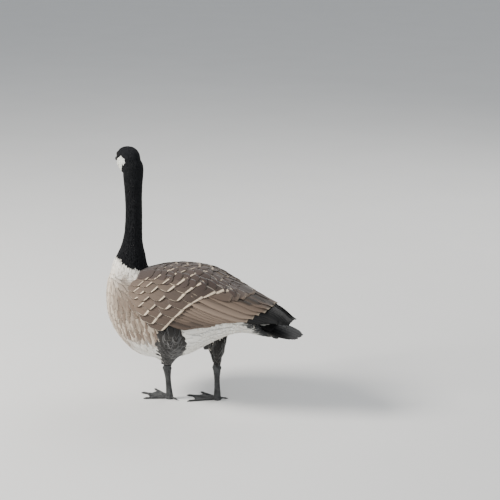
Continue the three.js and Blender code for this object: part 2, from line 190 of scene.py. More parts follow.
@dataclass(frozen=True)
class Zone:
    """A part of the plumage, which fades in over each span that it names, in metres."""

    along: Span | None = None
    across: Span | None = None
    up: Span | None = None
    below_collar: Span | None = None
    facing_up: Span | None = None

    def share(self, place: dict[str, Array]) -> Array:
        """Tells how far each place belongs to the zone.

        Args:
            place: for each kind of span, its value at every place.

        Returns:
            Shares from 0 to 1.
        """
        spans = {key: getattr(self, key) for key in place if getattr(self, key) is not None}
        return np.prod([ease(place[key], *span) for key, span in spans.items()], axis=0)


@dataclass(frozen=True)
class HeadPose:
    """Where the head sits on the neck and how far it is turned."""

    axis: tuple[float, float] = (-0.176, 0.0)
    turn: float = math.radians(-39)

    def local(self, points: Array) -> Array:
        """Turns points into the head's own forward, leftward and upward places.

        Args:
            points: points of the model, in metres.

        Returns:
            The same points on the head's axes.
        """
        flat = points[:, :2] + np.array([MIDDLE, 0.0]) - np.array(self.axis)
        ahead = np.array([-math.cos(self.turn), -math.sin(self.turn)])
        left = np.array([math.sin(self.turn), -math.cos(self.turn)])
        return np.stack([flat @ ahead, flat @ left, points[:, 2]], axis=1)

    def ahead(self) -> Array:
        """The way that the bill points."""
        return np.array([-math.cos(self.turn), -math.sin(self.turn), 0.0])


HEAD = HeadPose()
CHEEK_OUTLINE = (
    (17, 685), (33, 677), (50, 665), (60, 653), (63, 640), (56, 622), (42, 616),
    (38, 629), (30, 641), (22, 651), (9, 662), (-1, 670), (-2, 677), (7, 682),
)


def inside_outline(x: Array, y: Array, outline: tuple[tuple[float, float], ...]) -> Array:
    """Tells which points of a plane lie inside a closed outline.

    Args:
        x: the points' first coordinates.
        y: their second ones.
        outline: the corners in order.

    Returns:
        True for each point inside.
    """
    inside = np.zeros(len(x), dtype=bool)
    for (x0, y0), (x1, y1) in zip(outline, outline[1:] + outline[:1]):
        if y0 == y1:
            continue
        crosses = (y > y0) != (y > y1)
        inside ^= crosses & (x < (x1 - x0) * (y - y0) / (y1 - y0) + x0)
    return inside


@dataclass
class Markings:
    """The plumage's colours by place, which the skin and the coat share."""

    collar_back: tuple[float, float] = (-0.137, 0.363)
    collar_slope: float = 0.438
    neck_end: float = -0.1
    ragged: float = 0.0018
    cheek_ragged: float = 0.8
    bib: Zone = Zone(below_collar=(0.02, 0.075))
    side: Zone = Zone(across=(0.02, 0.1), below_collar=(0.02, 0.09))
    flank: Zone = Zone(along=(-0.2, -0.1), across=(0.05, 0.09), up=(0.15, 0.21), below_collar=(0.0, 0.05))
    shoulder: Zone = Zone(
        along=(-0.225, -0.17), across=(0.015, 0.05), up=(0.22, 0.3), below_collar=(0.01, 0.035))
    low_belly: Zone = Zone(along=(-0.19, -0.12), up=(0.215, 0.165))
    vent: Zone = Zone(along=(0.0, 0.03))
    back: Zone = Zone(along=(-0.15, -0.115), up=(0.29, 0.33), facing_up=(0.25, 0.6))
    rump: Zone = Zone(along=(0.1, 0.14), facing_up=(0.1, 0.5))
    rump_end: Zone = Zone(along=(0.225, 0.21))
    tail_root: Zone = Zone(up=(0.215, 0.225))
    tail_start: tuple[float, float] = (0.178, 0.262)
    tail_lean: float = 1.25
    tail_fade: float = 0.01
    crown: Zone = Zone(up=(0.66, 0.7))
    girth: float = 0.11
    streak: float = 0.0175
    streak_crisp: float = 1.6
    streak_uneven: float = 0.3
    waver: tuple[float, float, float] = (0.004, 0.03, 45.0)
    fawn_share: tuple[float, float] = (0.52, 0.4)
    flank_share: tuple[float, float] = (0.45, 0.35)
    shoulder_share: float = 0.85
    rim_pale: float = 0.5
    rim_fade: float = 0.38
    rim_wide: float = 0.1
    vary: float = 0.05
    vary_most: float = 0.15
    knee: float = 0.135
    hip: float = 0.27
    thigh_gap: float = 0.02
    thighs: list[BVHTree] = field(default_factory=list)

    def above_collar(self, points: Array) -> Array:
        """Tells how far each point lies above the edge of the black neck.

        Args:
            points: the points to test.

        Returns:
            The heights, below 0 on the breast and the back.
        """
        x = points[:, 0] + MIDDLE
        edge = self.collar_back[1] + (self.collar_back[0] - x) * self.collar_slope
        return np.where(x < self.neck_end, points[:, 2] - edge, -1.0)

    def on_thigh(self, points: Array, reach: float = 0.006) -> Array:
        """Tells which points lie on a thigh.

        Args:
            points: the points to test.
            reach: how near to the thigh's surface counts.

        Returns:
            True for each point on one.
        """
        found = points[:, 2] < self.knee
        near = ~found & (points[:, 2] < self.hip) & (np.abs(points[:, 1]) > self.thigh_gap)
        for i in np.flatnonzero(near):
            found[i] = any(t.find_nearest(Vector(points[i]), reach)[0] is not None for t in self.thighs)
        return found

    def streaks(self, x: Array, y: Array, z: Array, uneven: Array) -> Array:
        """The light and dark streaks down the sides.

        Args:
            x: the places along the body.
            y: how far each lies from its middle.
            z: their heights.
            uneven: a draw for each place.

        Returns:
            From -1 in the light streaks to 1 in the dark ones.
        """
        round_it = self.girth * np.arctan2(y, -(x + self.girth))
        sway, height, turn = self.waver
        phase = 2.0 * math.pi * (round_it + sway * np.sin(z / height + turn * y)) / self.streak
        return np.tanh(self.streak_crisp * np.sin(phase + self.streak_uneven * uneven))

    def paint(self, points: Array, normals: Array, rng: np.random.Generator) -> tuple[Array, Array, Array]:
        """Colours feathers by where they root.

        Args:
            points: the roots.
            normals: the skin's normals there.
            rng: the seeded draw that makes the edges of the markings uneven.

        Returns:
            The base colours, the colours of the pale edges, and how wide these are.
        """
        uneven = rng.normal(0.0, 1.0, len(points))
        above = self.above_collar(points) + self.ragged * uneven
        x, y, z = points[:, 0] + MIDDLE, np.abs(points[:, 1]), points[:, 2]
        place = {"along": x, "across": y, "up": z, "below_collar": -above, "facing_up": normals[:, 2]}
        streak = self.streaks(x, y, z, uneven)
        side, flank = self.side.share(place), self.flank.share(place)
        tone = blend(NECK_WHITE, CREAM, self.bib.share(place))
        tone = blend(tone, FAWN, side * (self.fawn_share[0] + self.fawn_share[1] * streak))
        tone = blend(tone, FLANK, flank * (self.flank_share[0] + self.flank_share[1] * streak))
        tone = blend(tone, FLANK, self.shoulder_share * self.shoulder.share(place))
        tone = blend(tone, BELLY, np.maximum(self.low_belly.share(place), self.vent.share(place)))
        tone = blend(tone, MANTLE, self.back.share(place))
        tone = blend(tone, RUMP, self.rump.share(place) * self.rump_end.share(place))
        behind = x - self.tail_start[0] - (self.tail_start[1] - z) * self.tail_lean
        # behind a slanted line at the tail's root the colour turns to black with a painted sky reflection
        # (slate)
        tone = blend(tone, TAIL_BLACK_SKY_SHEEN, ease(behind, 0.0, self.tail_fade) * self.tail_root.share(place))
        plain = np.maximum(ease(behind, -2.0 * self.tail_fade, 0.0), np.maximum(side, flank))
        edge = blend(tone, CREAM_EDGE, self.rim_pale - self.rim_fade * plain)
        wide = np.full(len(points), self.rim_wide)
        thigh = self.on_thigh(points)
        # the thighs take their brown-grey darkened with painted shade from the wing above
        tone[thigh], edge[thigh] = SHADED_THIGH, SHADED_THIGH_EDGE
        black = above > 0.0
        tone[black] = blend(BLACK, CROWN, self.crown.share({"up": z[black]}))
        edge[black], wide[black] = tone[black], 0.0
        ahead, _, up = HEAD.local(points).T * 1000.0
        ahead, up = ahead + self.cheek_ragged * uneven, up + self.cheek_ragged * np.roll(uneven, 1)
        cheek = black & inside_outline(ahead, up, CHEEK_OUTLINE)
        tone[cheek], edge[cheek] = CHEEK, CHEEK
        lit = 1.0 + self.vary * rng.normal(0.0, 1.0, len(points))
        tone *= lit[:, None].clip(1.0 - self.vary_most, 1.0 + self.vary_most)
        return tone, edge, wide


class Nodes:
    """A small writer of shader graphs."""

    def __init__(self, name: str) -> None:
        """Starts a material with its graph empty but for the shader.

        Args:
            name: the material's name.
        """
        self.material = bpy.data.materials.new(name)
        self.material.use_nodes = True
        self.tree = self.material.node_tree
        self.shader = self.tree.nodes["Principled BSDF"]

    def add(self, kind: str, **settings: object) -> bpy.types.Node:
        """Adds a node.

        Args:
            kind: the node's type without its ShaderNode prefix.
            settings: the node's own settings.

        Returns:
            The new node.
        """
        node = self.tree.nodes.new("ShaderNode" + kind)
        for key, value in settings.items():
            setattr(node, key, value)
        return node

    def put(self, source: object, target: bpy.types.NodeSocket) -> None:
        """Feeds a socket from another socket, or sets it to a number or colour.

        Args:
            source: the other socket, the value, or nothing.
            target: the socket to feed.
        """
        if isinstance(source, bpy.types.NodeSocket):
            self.tree.links.new(source, target)
        elif source is not None:
            target.default_value = source

    def math(self, operation: str, a: object, b: object = None, c: object = None) -> bpy.types.NodeSocket:
        """Works out a number.

        Args:
            operation: the operation's name.
            a: the first number or socket.
            b: the second one.
            c: the third one.

        Returns:
            The result's socket.
        """
        node = self.add("Math", operation=operation)
        for source, target in zip((a, b, c), node.inputs):
            self.put(source, target)
        return node.outputs[0]

    def rise(self, value: object, low: object, high: object) -> bpy.types.NodeSocket:
        """Steps smoothly from 0 to 1 between low and high.

        Args:
            value: the number or socket to read.
            low: where the rise starts.
            high: where it ends.

        Returns:
            The step's socket.
        """
        node = self.add("MapRange", interpolation_type="SMOOTHSTEP")
        for key, source in (("Value", value), ("From Min", low), ("From Max", high)):
            self.put(source, node.inputs[key])
        return node.outputs["Result"]

    def mix(self, share: object, a: object, b: object, way: str = "MIX") -> bpy.types.NodeSocket:
        """Mixes two colours.

        Args:
            share: how much of the second one.
            a: the first colour or socket.
            b: the second one.
            way: how they are mixed.

        Returns:
            The mixed colour's socket.
        """
        node = self.add("Mix", data_type="RGBA", blend_type=way)
        for source, target in zip((share, a, b), (node.inputs[0], node.inputs[6], node.inputs[7])):
            self.put(source, target)
        return node.outputs[2]

    def attribute(self, name: str) -> bpy.types.Node:
        """Reads an attribute of the mesh."""
        return self.add("Attribute", attribute_name=name)

    def noise(self, scale: float, detail: float = 2.0, vector: object = None) -> bpy.types.NodeSocket:
        """Noise over the object's own coordinates, or over a vector that is given.

        Args:
            scale: the noise's scale.
            detail: how fine it goes.
            vector: the coordinates to read instead.

        Returns:
            The socket of its value.
        """
        node = self.add("TexNoise")
        node.inputs["Scale"].default_value = scale
        node.inputs["Detail"].default_value = detail
        self.put(vector or self.add("TexCoord").outputs["Object"], node.inputs["Vector"])
        return node.outputs[0]

    def bump(self, height: object, strength: float, distance: float) -> None:
        """Raises the surface by a height.

        Args:
            height: the height's socket.
            strength: how strong it is.
            distance: how high it goes, in metres.
        """
        node = self.add("Bump")
        node.inputs["Strength"].default_value = strength
        node.inputs["Distance"].default_value = distance
        self.put(height, node.inputs["Height"])
        self.put(node.outputs[0], self.shader.inputs["Normal"])

    def finish(self, color: object, roughness: object, specular: float = 0.5) -> bpy.types.Material:
        """Sets the shader's main sockets.

        Args:
            color: the colour or its socket.
            roughness: the roughness or its socket.
            specular: the constant specular level.

        Returns:
            The finished material.
        """
        self.put(color, self.shader.inputs["Base Color"])
        self.put(roughness, self.shader.inputs["Roughness"])
        self.shader.inputs["Specular IOR Level"].default_value = specular
        return self.material


@dataclass(frozen=True)
class VaneFinish:
    """Feathers: a shaft, barbs that sweep to the tip, and a pale edge round the end."""

    name: str
    roughness: float = 0.72
    specular: float = 0.3
    barbs: float = 42.0
    contrast: float = 0.3
    shaft: float = 0.35
    sheen: float = 0.15
    # slope: painted shade across each vane, darker toward the edge that lies under the next feather
    slope: float = 0.0
    sweep: float = 0.28
    fray: float = 0.06
    tip_soft: float = 0.07
    rim_soft: float = 0.1
    rim_share: float = 0.9
    rim_start: Span = (0.25, 0.5)
    shaft_half: Span = (0.07, 0.02)
    shaft_color: Color = (0.03, 0.025, 0.02, 1.0)
    own_seed: float = 90.0
    ridge: float = 0.0004
    ridge_strength: float = 0.35

    def build(self) -> bpy.types.Material:
        """Writes the shader and returns its material."""
        n = Nodes(self.name)
        base, edge = n.attribute("base"), n.attribute("edge")
        place = n.add("SeparateXYZ")
        n.put(n.attribute("vane").outputs["Vector"], place.inputs[0])
        along, across, own = place.outputs
        out = n.math("ABSOLUTE", across)
        swept = n.math("SUBTRACT", along, n.math("MULTIPLY", out, self.sweep))
        lines = n.add("CombineXYZ")
        n.put(n.math("MULTIPLY", swept, self.barbs), lines.inputs[0])
        n.put(n.math("MULTIPLY", own, self.own_seed), lines.inputs[1])
        n.put(n.math("SIGN", across), lines.inputs[2])
        streak = n.noise(1.0, 3.0, lines.outputs[0])
        pale = self.pale_edge(n, along, out, streak, edge.outputs["Alpha"])
        color = n.mix(pale, base.outputs["Color"], edge.outputs["Color"])
        dark = n.math("ADD", 1.0 - self.contrast / 2, n.math("MULTIPLY", streak, self.contrast))
        # painted shade across the vane: darker toward the edge tucked under the next feather, lighter at the
        # lower edge
        lit = n.math("MULTIPLY_ADD", across, self.slope / 2, 1.0 - self.slope / 2)
        color = n.mix(1.0, color, n.math("MULTIPLY", dark, lit), "MULTIPLY")
        color = n.mix(n.math("MULTIPLY", n.rise(out, *self.shaft_half), self.shaft), color, self.shaft_color)
        n.bump(streak, self.ridge_strength, self.ridge)
        n.shader.inputs["Sheen Weight"].default_value = self.sheen
        n.shader.inputs["Sheen Roughness"].default_value = 0.5
        return n.finish(color, self.roughness, self.specular)

    def pale_edge(self, n: "Nodes", along: bpy.types.NodeSocket, out: bpy.types.NodeSocket,
                  streak: bpy.types.NodeSocket, wide: bpy.types.NodeSocket) -> bpy.types.NodeSocket:
        """Works out where the pale edge lies, round the tip and down both sides.

        Args:
            n: the shader's writer.
            along: the place from quill to tip.
            out: the distance from the shaft.
            streak: the barbs' noise, which frays the edge.
            wide: the edge's width.

        Returns:
            1 on the edge and 0 inside it.
        """
        frayed = n.math("ADD", along, n.math("MULTIPLY", streak, self.fray))
        tip = n.rise(frayed, n.math("SUBTRACT", 1.0, wide), n.math("SUBTRACT", 1.0 + self.tip_soft, wide))
        share = n.math("MULTIPLY", wide, self.rim_share)
        rim = n.rise(out, n.math("SUBTRACT", 1.0, share), n.math("SUBTRACT", 1.0 + self.rim_soft, share))
        rim = n.math("MULTIPLY", rim, n.rise(along, *self.rim_start))
        return n.math("MULTIPLY", n.math("MAXIMUM", tip, rim), n.math("GREATER_THAN", wide, 0.01))


@dataclass(frozen=True)
class DownFinish:
    """The soft ground of the skin between the feathers."""

    name: str = "down"
    roughness: float = 0.9
    shadow: Color = (0.04, 0.035, 0.03, 1.0)
    deep: Color = (0.02, 0.018, 0.016, 1.0)
    fuzz: float = 900.0

    def build(self) -> bpy.types.Material:
        """Writes the shader and returns its material."""
        n = Nodes(self.name)
        fuzz = n.noise(self.fuzz, 3.0)
        color = n.mix(0.15, n.attribute("base").outputs["Color"], self.shadow)
        color = n.mix(n.math("MULTIPLY", fuzz, 0.25), color, self.deep)
        n.bump(fuzz, 0.5, 0.0006)
        return n.finish(color, self.roughness, 0.2)


@dataclass(frozen=True)
class HornFinish:
    """Black horn of the bill and claws, with faint growth lines."""

    name: str = "horn"
    dark: Color = (0.008, 0.008, 0.009, 1.0)
    worn: Color = (0.035, 0.034, 0.034, 1.0)
    clouds: float = 160.0
    grain: float = 1400.0

    def build(self) -> bpy.types.Material:
        """Writes the shader and returns its material."""
        n = Nodes(self.name)
        cloud = n.noise(self.clouds, 4.0)
        fine = n.noise(self.grain, 2.0)
        color = n.mix(n.rise(cloud, 0.45, 0.75), self.dark, self.worn)
        n.bump(n.math("ADD", fine, cloud), 0.25, 0.0003)
        return n.finish(color, n.rise(cloud, -0.6, 1.9), 0.5)


@dataclass(frozen=True)
class LegFinish:
    """Dark skin of legs, webs and lids, with small plates, paler patches, and creases between the plates
    darkened with painted shade.
    """

    name: str = "leg"
    dark: Color = (0.018, 0.019, 0.02, 1.0)
    pale: Color = (0.075, 0.078, 0.078, 1.0)
    # crease: painted shade in the grooves between the plates
    crease: Color = (0.006, 0.006, 0.006, 1.0)
    plates: float = 420.0
    clouds: float = 70.0

    def build(self) -> bpy.types.Material:
        """Writes the shader and returns its material."""
        n = Nodes(self.name)
        cells = n.add("TexVoronoi", feature="DISTANCE_TO_EDGE")
        cells.inputs["Scale"].default_value = self.plates
        n.put(n.add("TexCoord").outputs["Object"], cells.inputs["Vector"])
        plate = n.rise(cells.outputs["Distance"], 0.0, 0.14)
        cloud = n.noise(self.clouds, 3.0)
        color = n.mix(n.rise(cloud, 0.35, 0.7), self.dark, self.pale)
        # painted shade darkens the grooves between the plates
        color = n.mix(n.math("MULTIPLY", n.math("SUBTRACT", 1.0, plate), 0.7), color, self.crease)
        n.bump(n.math("ADD", plate, n.math("MULTIPLY", cloud, 0.4)), 0.6, 0.0006)
        return n.finish(color, n.rise(cloud, -0.8, 1.6), 0.45)


@dataclass(frozen=True)
class EyeFinish:
    """A wet, dark brown eye with a black pupil."""

    name: str = "eye"
    fleck: Color = (0.004, 0.002, 0.001, 1.0)
    flecks: float = 2600.0
    wet: float = 0.15

    def build(self) -> bpy.types.Material:
        """Writes the shader and returns its material."""
        n = Nodes(self.name)
        flecks = n.math("MULTIPLY", n.noise(self.flecks, 2.0), 0.5)
        color = n.mix(flecks, n.attribute("base").outputs["Color"], self.fleck)
        n.shader.inputs["Coat Weight"].default_value = self.wet
        n.shader.inputs["Coat Roughness"].default_value = 0.03
        return n.finish(color, 0.12, 0.22)


@dataclass(frozen=True)
class FloorFinish:
    """A plain pale studio floor."""

    name: str = "floor"
    dull: Color = (0.7, 0.7, 0.69, 1.0)
    bright: Color = (0.74, 0.74, 0.73, 1.0)

    def build(self) -> bpy.types.Material:
        """Writes the shader and returns its material."""
        n = Nodes(self.name)
        return n.finish(n.mix(n.noise(3.0), self.dull, self.bright), 0.8, 0.2)


def make_object(name: str, mesh: bpy.types.Mesh, material: bpy.types.Material) -> bpy.types.Object:
    """Puts a mesh in the scene as a piece that rides on the bird, and reports it.

    Args:
        name: the piece's name.
        mesh: its mesh, placed in the model's frame.
        material: its finish.

    Returns:
        The new object.
    """
    piece = bpy.data.objects.new(name, mesh)
    bpy.context.scene.collection.objects.link(piece)
    mesh.materials.clear()
    mesh.materials.append(material)
    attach(piece, "root")
    LOG.info("%s: %d faces", name, len(mesh.polygons))
    return piece


def triangle_mesh(name: str, points: Array, triangles: Array) -> bpy.types.Mesh:
    """Makes a mesh from arrays.

    Args:
        name: the mesh's name.
        points: its points.
        triangles: three point numbers for each face.

    Returns:
        The mesh, with its faces shaded smooth.
    """
    mesh = bpy.data.meshes.new(name)
    mesh.vertices.add(len(points))
    mesh.vertices.foreach_set("co", points.astype(np.float32).ravel())
    mesh.loops.add(triangles.size)
    mesh.loops.foreach_set("vertex_index", triangles.astype(np.int32).ravel())
    mesh.polygons.add(len(triangles))
    mesh.polygons.foreach_set("loop_start", np.arange(0, triangles.size, 3, dtype=np.int32))
    mesh.update(calc_edges=True)
    mesh.shade_smooth()
    return mesh


def smooth_mesh(bm: bmesh.types.BMesh, name: str) -> bpy.types.Mesh:
    """Turns a working mesh into one that is shaded smooth, and frees it.

    Args:
        bm: the working mesh.
        name: the new mesh's name.

    Returns:
        The new mesh.
    """
    mesh = bpy.data.meshes.new(name)
    bm.to_mesh(mesh)
    bm.free()
    mesh.shade_smooth()
    return mesh


def move_points(mesh: bpy.types.Mesh, points: Array) -> None:
    """Moves a mesh's points to new places.

    Args:
        mesh: the mesh to change.
        points: a place for each of its points.
    """
    mesh.vertices.foreach_set("co", points.astype(np.float32).ravel())
    mesh.update()


def give_color(mesh: bpy.types.Mesh, name: str, values: Array) -> None:
    """Stores a colour for each point, with alpha where the rows have four numbers.

    Args:
        mesh: the mesh to dress.
        name: the attribute's name.
        values: a row for each point.
    """
    rows = np.ones((len(values), 4), dtype=np.float32)
    rows[:, : values.shape[1]] = values
    mesh.attributes.new(name, "FLOAT_COLOR", "POINT").data.foreach_set("color", rows.ravel())


def read_mesh(mesh: bpy.types.Mesh) -> tuple[Array, Array]:
    """Reads a mesh's points and their normals.

    Args:
        mesh: the mesh to read.

    Returns:
        The points and the normals.
    """
    points = np.empty(len(mesh.vertices) * 3, dtype=np.float32)
    mesh.vertices.foreach_get("co", points)
    normals = np.empty(len(mesh.vertices) * 3, dtype=np.float32)
    mesh.vertex_normals.foreach_get("vector", normals)
    return points.reshape(-1, 3).astype(float), normals.reshape(-1, 3).astype(float)


def fuse_nodes(name: str, nodes: list[str], voxel: float, rounds: int,
               cut_x: float | None = None) -> bpy.types.Mesh:
    """Fuses merged copies of the frame's nodes into one closed, softened mesh.

    Args:
        name: the new mesh's name.
        nodes: the nodes whose copies are fused.
        voxel: the size of the grid that fuses them.
        rounds: how many times the surface is smoothed.
        cut_x: where the copy is cut off behind, if at all.

    Returns:
        The fused mesh.
    """
    bm = bmesh.new()
    for node in nodes:
        bm.from_mesh(bpy.data.objects[FRAME_NODES[node]].data)
    bmesh.ops.remove_doubles(bm, verts=bm.verts, dist=1e-6)
    if cut_x is not None:
        parts = [*bm.verts, *bm.edges, *bm.faces]
        cut = bmesh.ops.bisect_plane(bm, geom=parts, plane_co=(cut_x, 0, 0), plane_no=(1, 0, 0),
                                     clear_outer=True)
        rim = [item for item in cut["geom_cut"] if isinstance(item, bmesh.types.BMEdge)]
        bmesh.ops.holes_fill(bm, edges=rim)
    mesh = bpy.data.meshes.new(name)
    bm.to_mesh(mesh)
    bm.free()
    holder = bpy.data.objects.new(name, mesh)
    bpy.context.scene.collection.objects.link(holder)
    remesh = holder.modifiers.new("fuse", "REMESH")
    remesh.mode, remesh.voxel_size, remesh.use_smooth_shade = "VOXEL", voxel, True
    soften = holder.modifiers.new("soften", "SMOOTH")
    soften.factor, soften.iterations = 0.5, rounds
    evaluated = holder.evaluated_get(bpy.context.evaluated_depsgraph_get())
    fused = bpy.data.meshes.new_from_object(evaluated)
    bpy.data.objects.remove(holder)
    fused.name = name
    fused.shade_smooth()
    return fused


def tree_of(mesh: bpy.types.Mesh) -> BVHTree:
    """Makes a search tree over a mesh's faces.

    Args:
        mesh: the mesh to search.

    Returns:
        The tree.
    """
    bm = bmesh.new()
    bm.from_mesh(mesh)
    tree = BVHTree.FromBMesh(bm)
    bm.free()
    return tree


def node_tree(node: str) -> BVHTree:
    """A search tree over one of the frame's nodes."""
    return tree_of(bpy.data.objects[FRAME_NODES[node]].data)


@dataclass(frozen=True)
class VaneShape:
    """A feather's outline, from quill to tip, and how finely it is drawn."""

    widths: tuple[float, ...] = (0.35, 0.8, 0.98, 1.0, 0.86, 0.45)
    rows: int = 5
    columns: int = 3
    camber: float = 0.22
    camber_reach: float = 0.006
    notch: float = 0.0
    crowding: float = 0.85

    def stations(self) -> tuple[Array, Array]:
        """The rows' places along the feather and the share of its width there."""
        t = np.linspace(0.0, 1.0, self.rows) ** self.crowding
        table = np.array(self.widths)[:, None]
        return t, curve_row(table, t * (len(self.widths) - 1))[:, 0]

    def faces(self) -> Array:
        """One closed feather's triangles: a crowned top, a flat underside and two ends."""
        rows, columns = self.rows, self.columns
        grid = np.arange(rows * columns).reshape(rows, columns)
        a, b = grid[:-1, :-1].ravel(), grid[:-1, 1:].ravel()
        c, d = grid[1:, 1:].ravel(), grid[1:, :-1].ravel()
        top = np.concatenate([np.stack([a, b, c], 1), np.stack([a, c, d], 1)])
        left, right = grid[:, 0], grid[:, -1]
        under = np.concatenate([
            np.stack([left[:-1], right[1:], right[:-1]], 1), np.stack([left[:-1], left[1:], right[1:]], 1)])
        ends = []
        for k in range(1, columns - 1):
            ends.append([grid[0, 0], grid[0, k + 1], grid[0, k]])
            ends.append([grid[-1, 0], grid[-1, k], grid[-1, k + 1]])
        return np.concatenate([top, under, np.array(ends)])


BODY_SHAPE = VaneShape((0.4, 0.85, 1.0, 1.0, 0.88, 0.45), rows=7, columns=5, camber=0.1)
SIDE_SHAPE = VaneShape((0.4, 0.8, 1.0, 1.0, 0.95, 0.5), rows=8, columns=5, camber=0.1)
TUFT_SHAPE = VaneShape((0.5, 1.0, 0.9, 0.4), rows=5, columns=3, camber=0.12)
FLIGHT_SHAPE = VaneShape((0.3, 0.7, 0.9, 1.0, 1.0, 0.92, 0.36), rows=18, columns=9, camber=0.1)
COVERT_SHAPE = VaneShape((0.5, 0.9, 1.0, 1.03, 1.04, 1.0, 0.78), rows=14, columns=11, camber=0.1, notch=0.14)
MANTLE_SHAPE = VaneShape((0.5, 0.9, 1.0, 1.03, 1.0, 0.92, 0.55), rows=14, columns=9, camber=0.1, notch=0.2)


@dataclass
class Feathers:
    """A coat piece in the making: laid feathers with their colours and their places on the unwrap."""

    shape: VaneShape
    points: list[Array] = field(default_factory=list)
    places: list[Array] = field(default_factory=list)
    tones: list[Array] = field(default_factory=list)
    edges: list[Array] = field(default_factory=list)
    spots: list[Array] = field(default_factory=list)

    def lay(self, centres: Array, ups: Array, half: float, tone: Array, edge: Array, own: float,
            spot: Array, tilt: float = 0.0, bend: float = 0.0, face: float = 1.0, slant: float = 0.0) -> None:
        """Lays one feather along a line of centres.

        Args:
            centres: a point of the shaft for each row.
            ups: the way out of the body at each.
            half: half the feather's width.
            tone: its base colour.
            edge: its edge's colour and width.
            own: a number of its own, for the shader.
            spot: its root's place on the unwrap.
            tilt: how much higher the feather's one edge lies than the shaft.
            bend: how strongly the surface below curves across it.
            face: 1, or -1 where the feather's lower edge comes first.
            slant: how much sooner its lower edge ends than its upper one.
        """
        t, wide = self.shape.stations()
        v = np.linspace(-1.0, 1.0, self.shape.columns)
        ahead = unit(np.gradient(centres, axis=0))
        across = unit(np.cross(ahead, ups))
        reach = half * wide
        crown = self.shape.camber * np.minimum(reach, self.shape.camber_reach)
        side = reach[:, None] * v[None, :]
        rise = crown[:, None] * (1.0 - v[None, :] ** 2) + tilt * v[None, :] - bend * side ** 2
        back = self.shape.notch * half * (np.abs(v[None, :]) ** 2) * (t[:, None] ** 6)
        back = back + slant * face * side * t[:, None] ** 2
        points = (centres[:, None, :] + across[:, None, :] * side[..., None]
                  + ups[:, None, :] * rise[..., None] - ahead[:, None, :] * back[..., None])
        self.points.append(points.reshape(-1, 3))
        tt, vv = np.broadcast_arrays(t[:, None], v[None, :])
        self.places.append(np.stack([tt.ravel(), face * vv.ravel(), np.full(tt.size, own)], 1))
        self.tones.append(np.broadcast_to(tone, (tt.size, 3)))
        self.edges.append(np.broadcast_to(edge, (tt.size, 4)))
        self.spots.append(np.broadcast_to(spot, (tt.size, 2)))

    def build(self, name: str, material: bpy.types.Material, slot: Slot) -> bpy.types.Object:
        """Joins the feathers into one piece with its attributes and its unwrap.

        Args:
            name: the piece's name.
            material: its finish.
            slot: the record's slot; not used.

        Returns:
            The new piece.
        """
        points = np.concatenate(self.points)
        count = len(self.points)
        each = self.shape.rows * self.shape.columns
        faces = (self.shape.faces()[None] + (np.arange(count) * each)[:, None, None]).reshape(-1, 3)
        mesh = triangle_mesh(name, points, faces)
        places = np.concatenate(self.places)
        give_color(mesh, "base", np.concatenate(self.tones))
        give_color(mesh, "edge", np.concatenate(self.edges))
        vane = mesh.attributes.new("vane", "FLOAT_VECTOR", "POINT")
        vane.data.foreach_set("vector", places.astype(np.float32).ravel())
        unwrap = np.concatenate(self.spots) + PATCH * (places[:, :2] * [1.0, 0.5] - [0.5, 0.0])
        loops = np.empty(len(mesh.loops), dtype=np.int32)
        mesh.loops.foreach_get("vertex_index", loops)
        layer = mesh.uv_layers.new(name="OFBake")
        layer.data.foreach_set("uv", unwrap[loops].astype(np.float32).ravel())
        LOG.info("%s: %d feathers", name, count)
        return make_object(name, mesh, material)


@dataclass(frozen=True)
class CoatPart:
    """A part of the coat of small feathers.

    Attributes:
        name: the piece's name.
        slot: the record's slot.
        spacing: how far apart the feathers root, in metres.
        length: how long they are.
        half: half their width.
        lift: how far the tips stand off the skin.
        shape: their outline.
    """

    name: str
    slot: Slot
    spacing: float
    length: float
    half: float
    lift: float
    shape: VaneShape


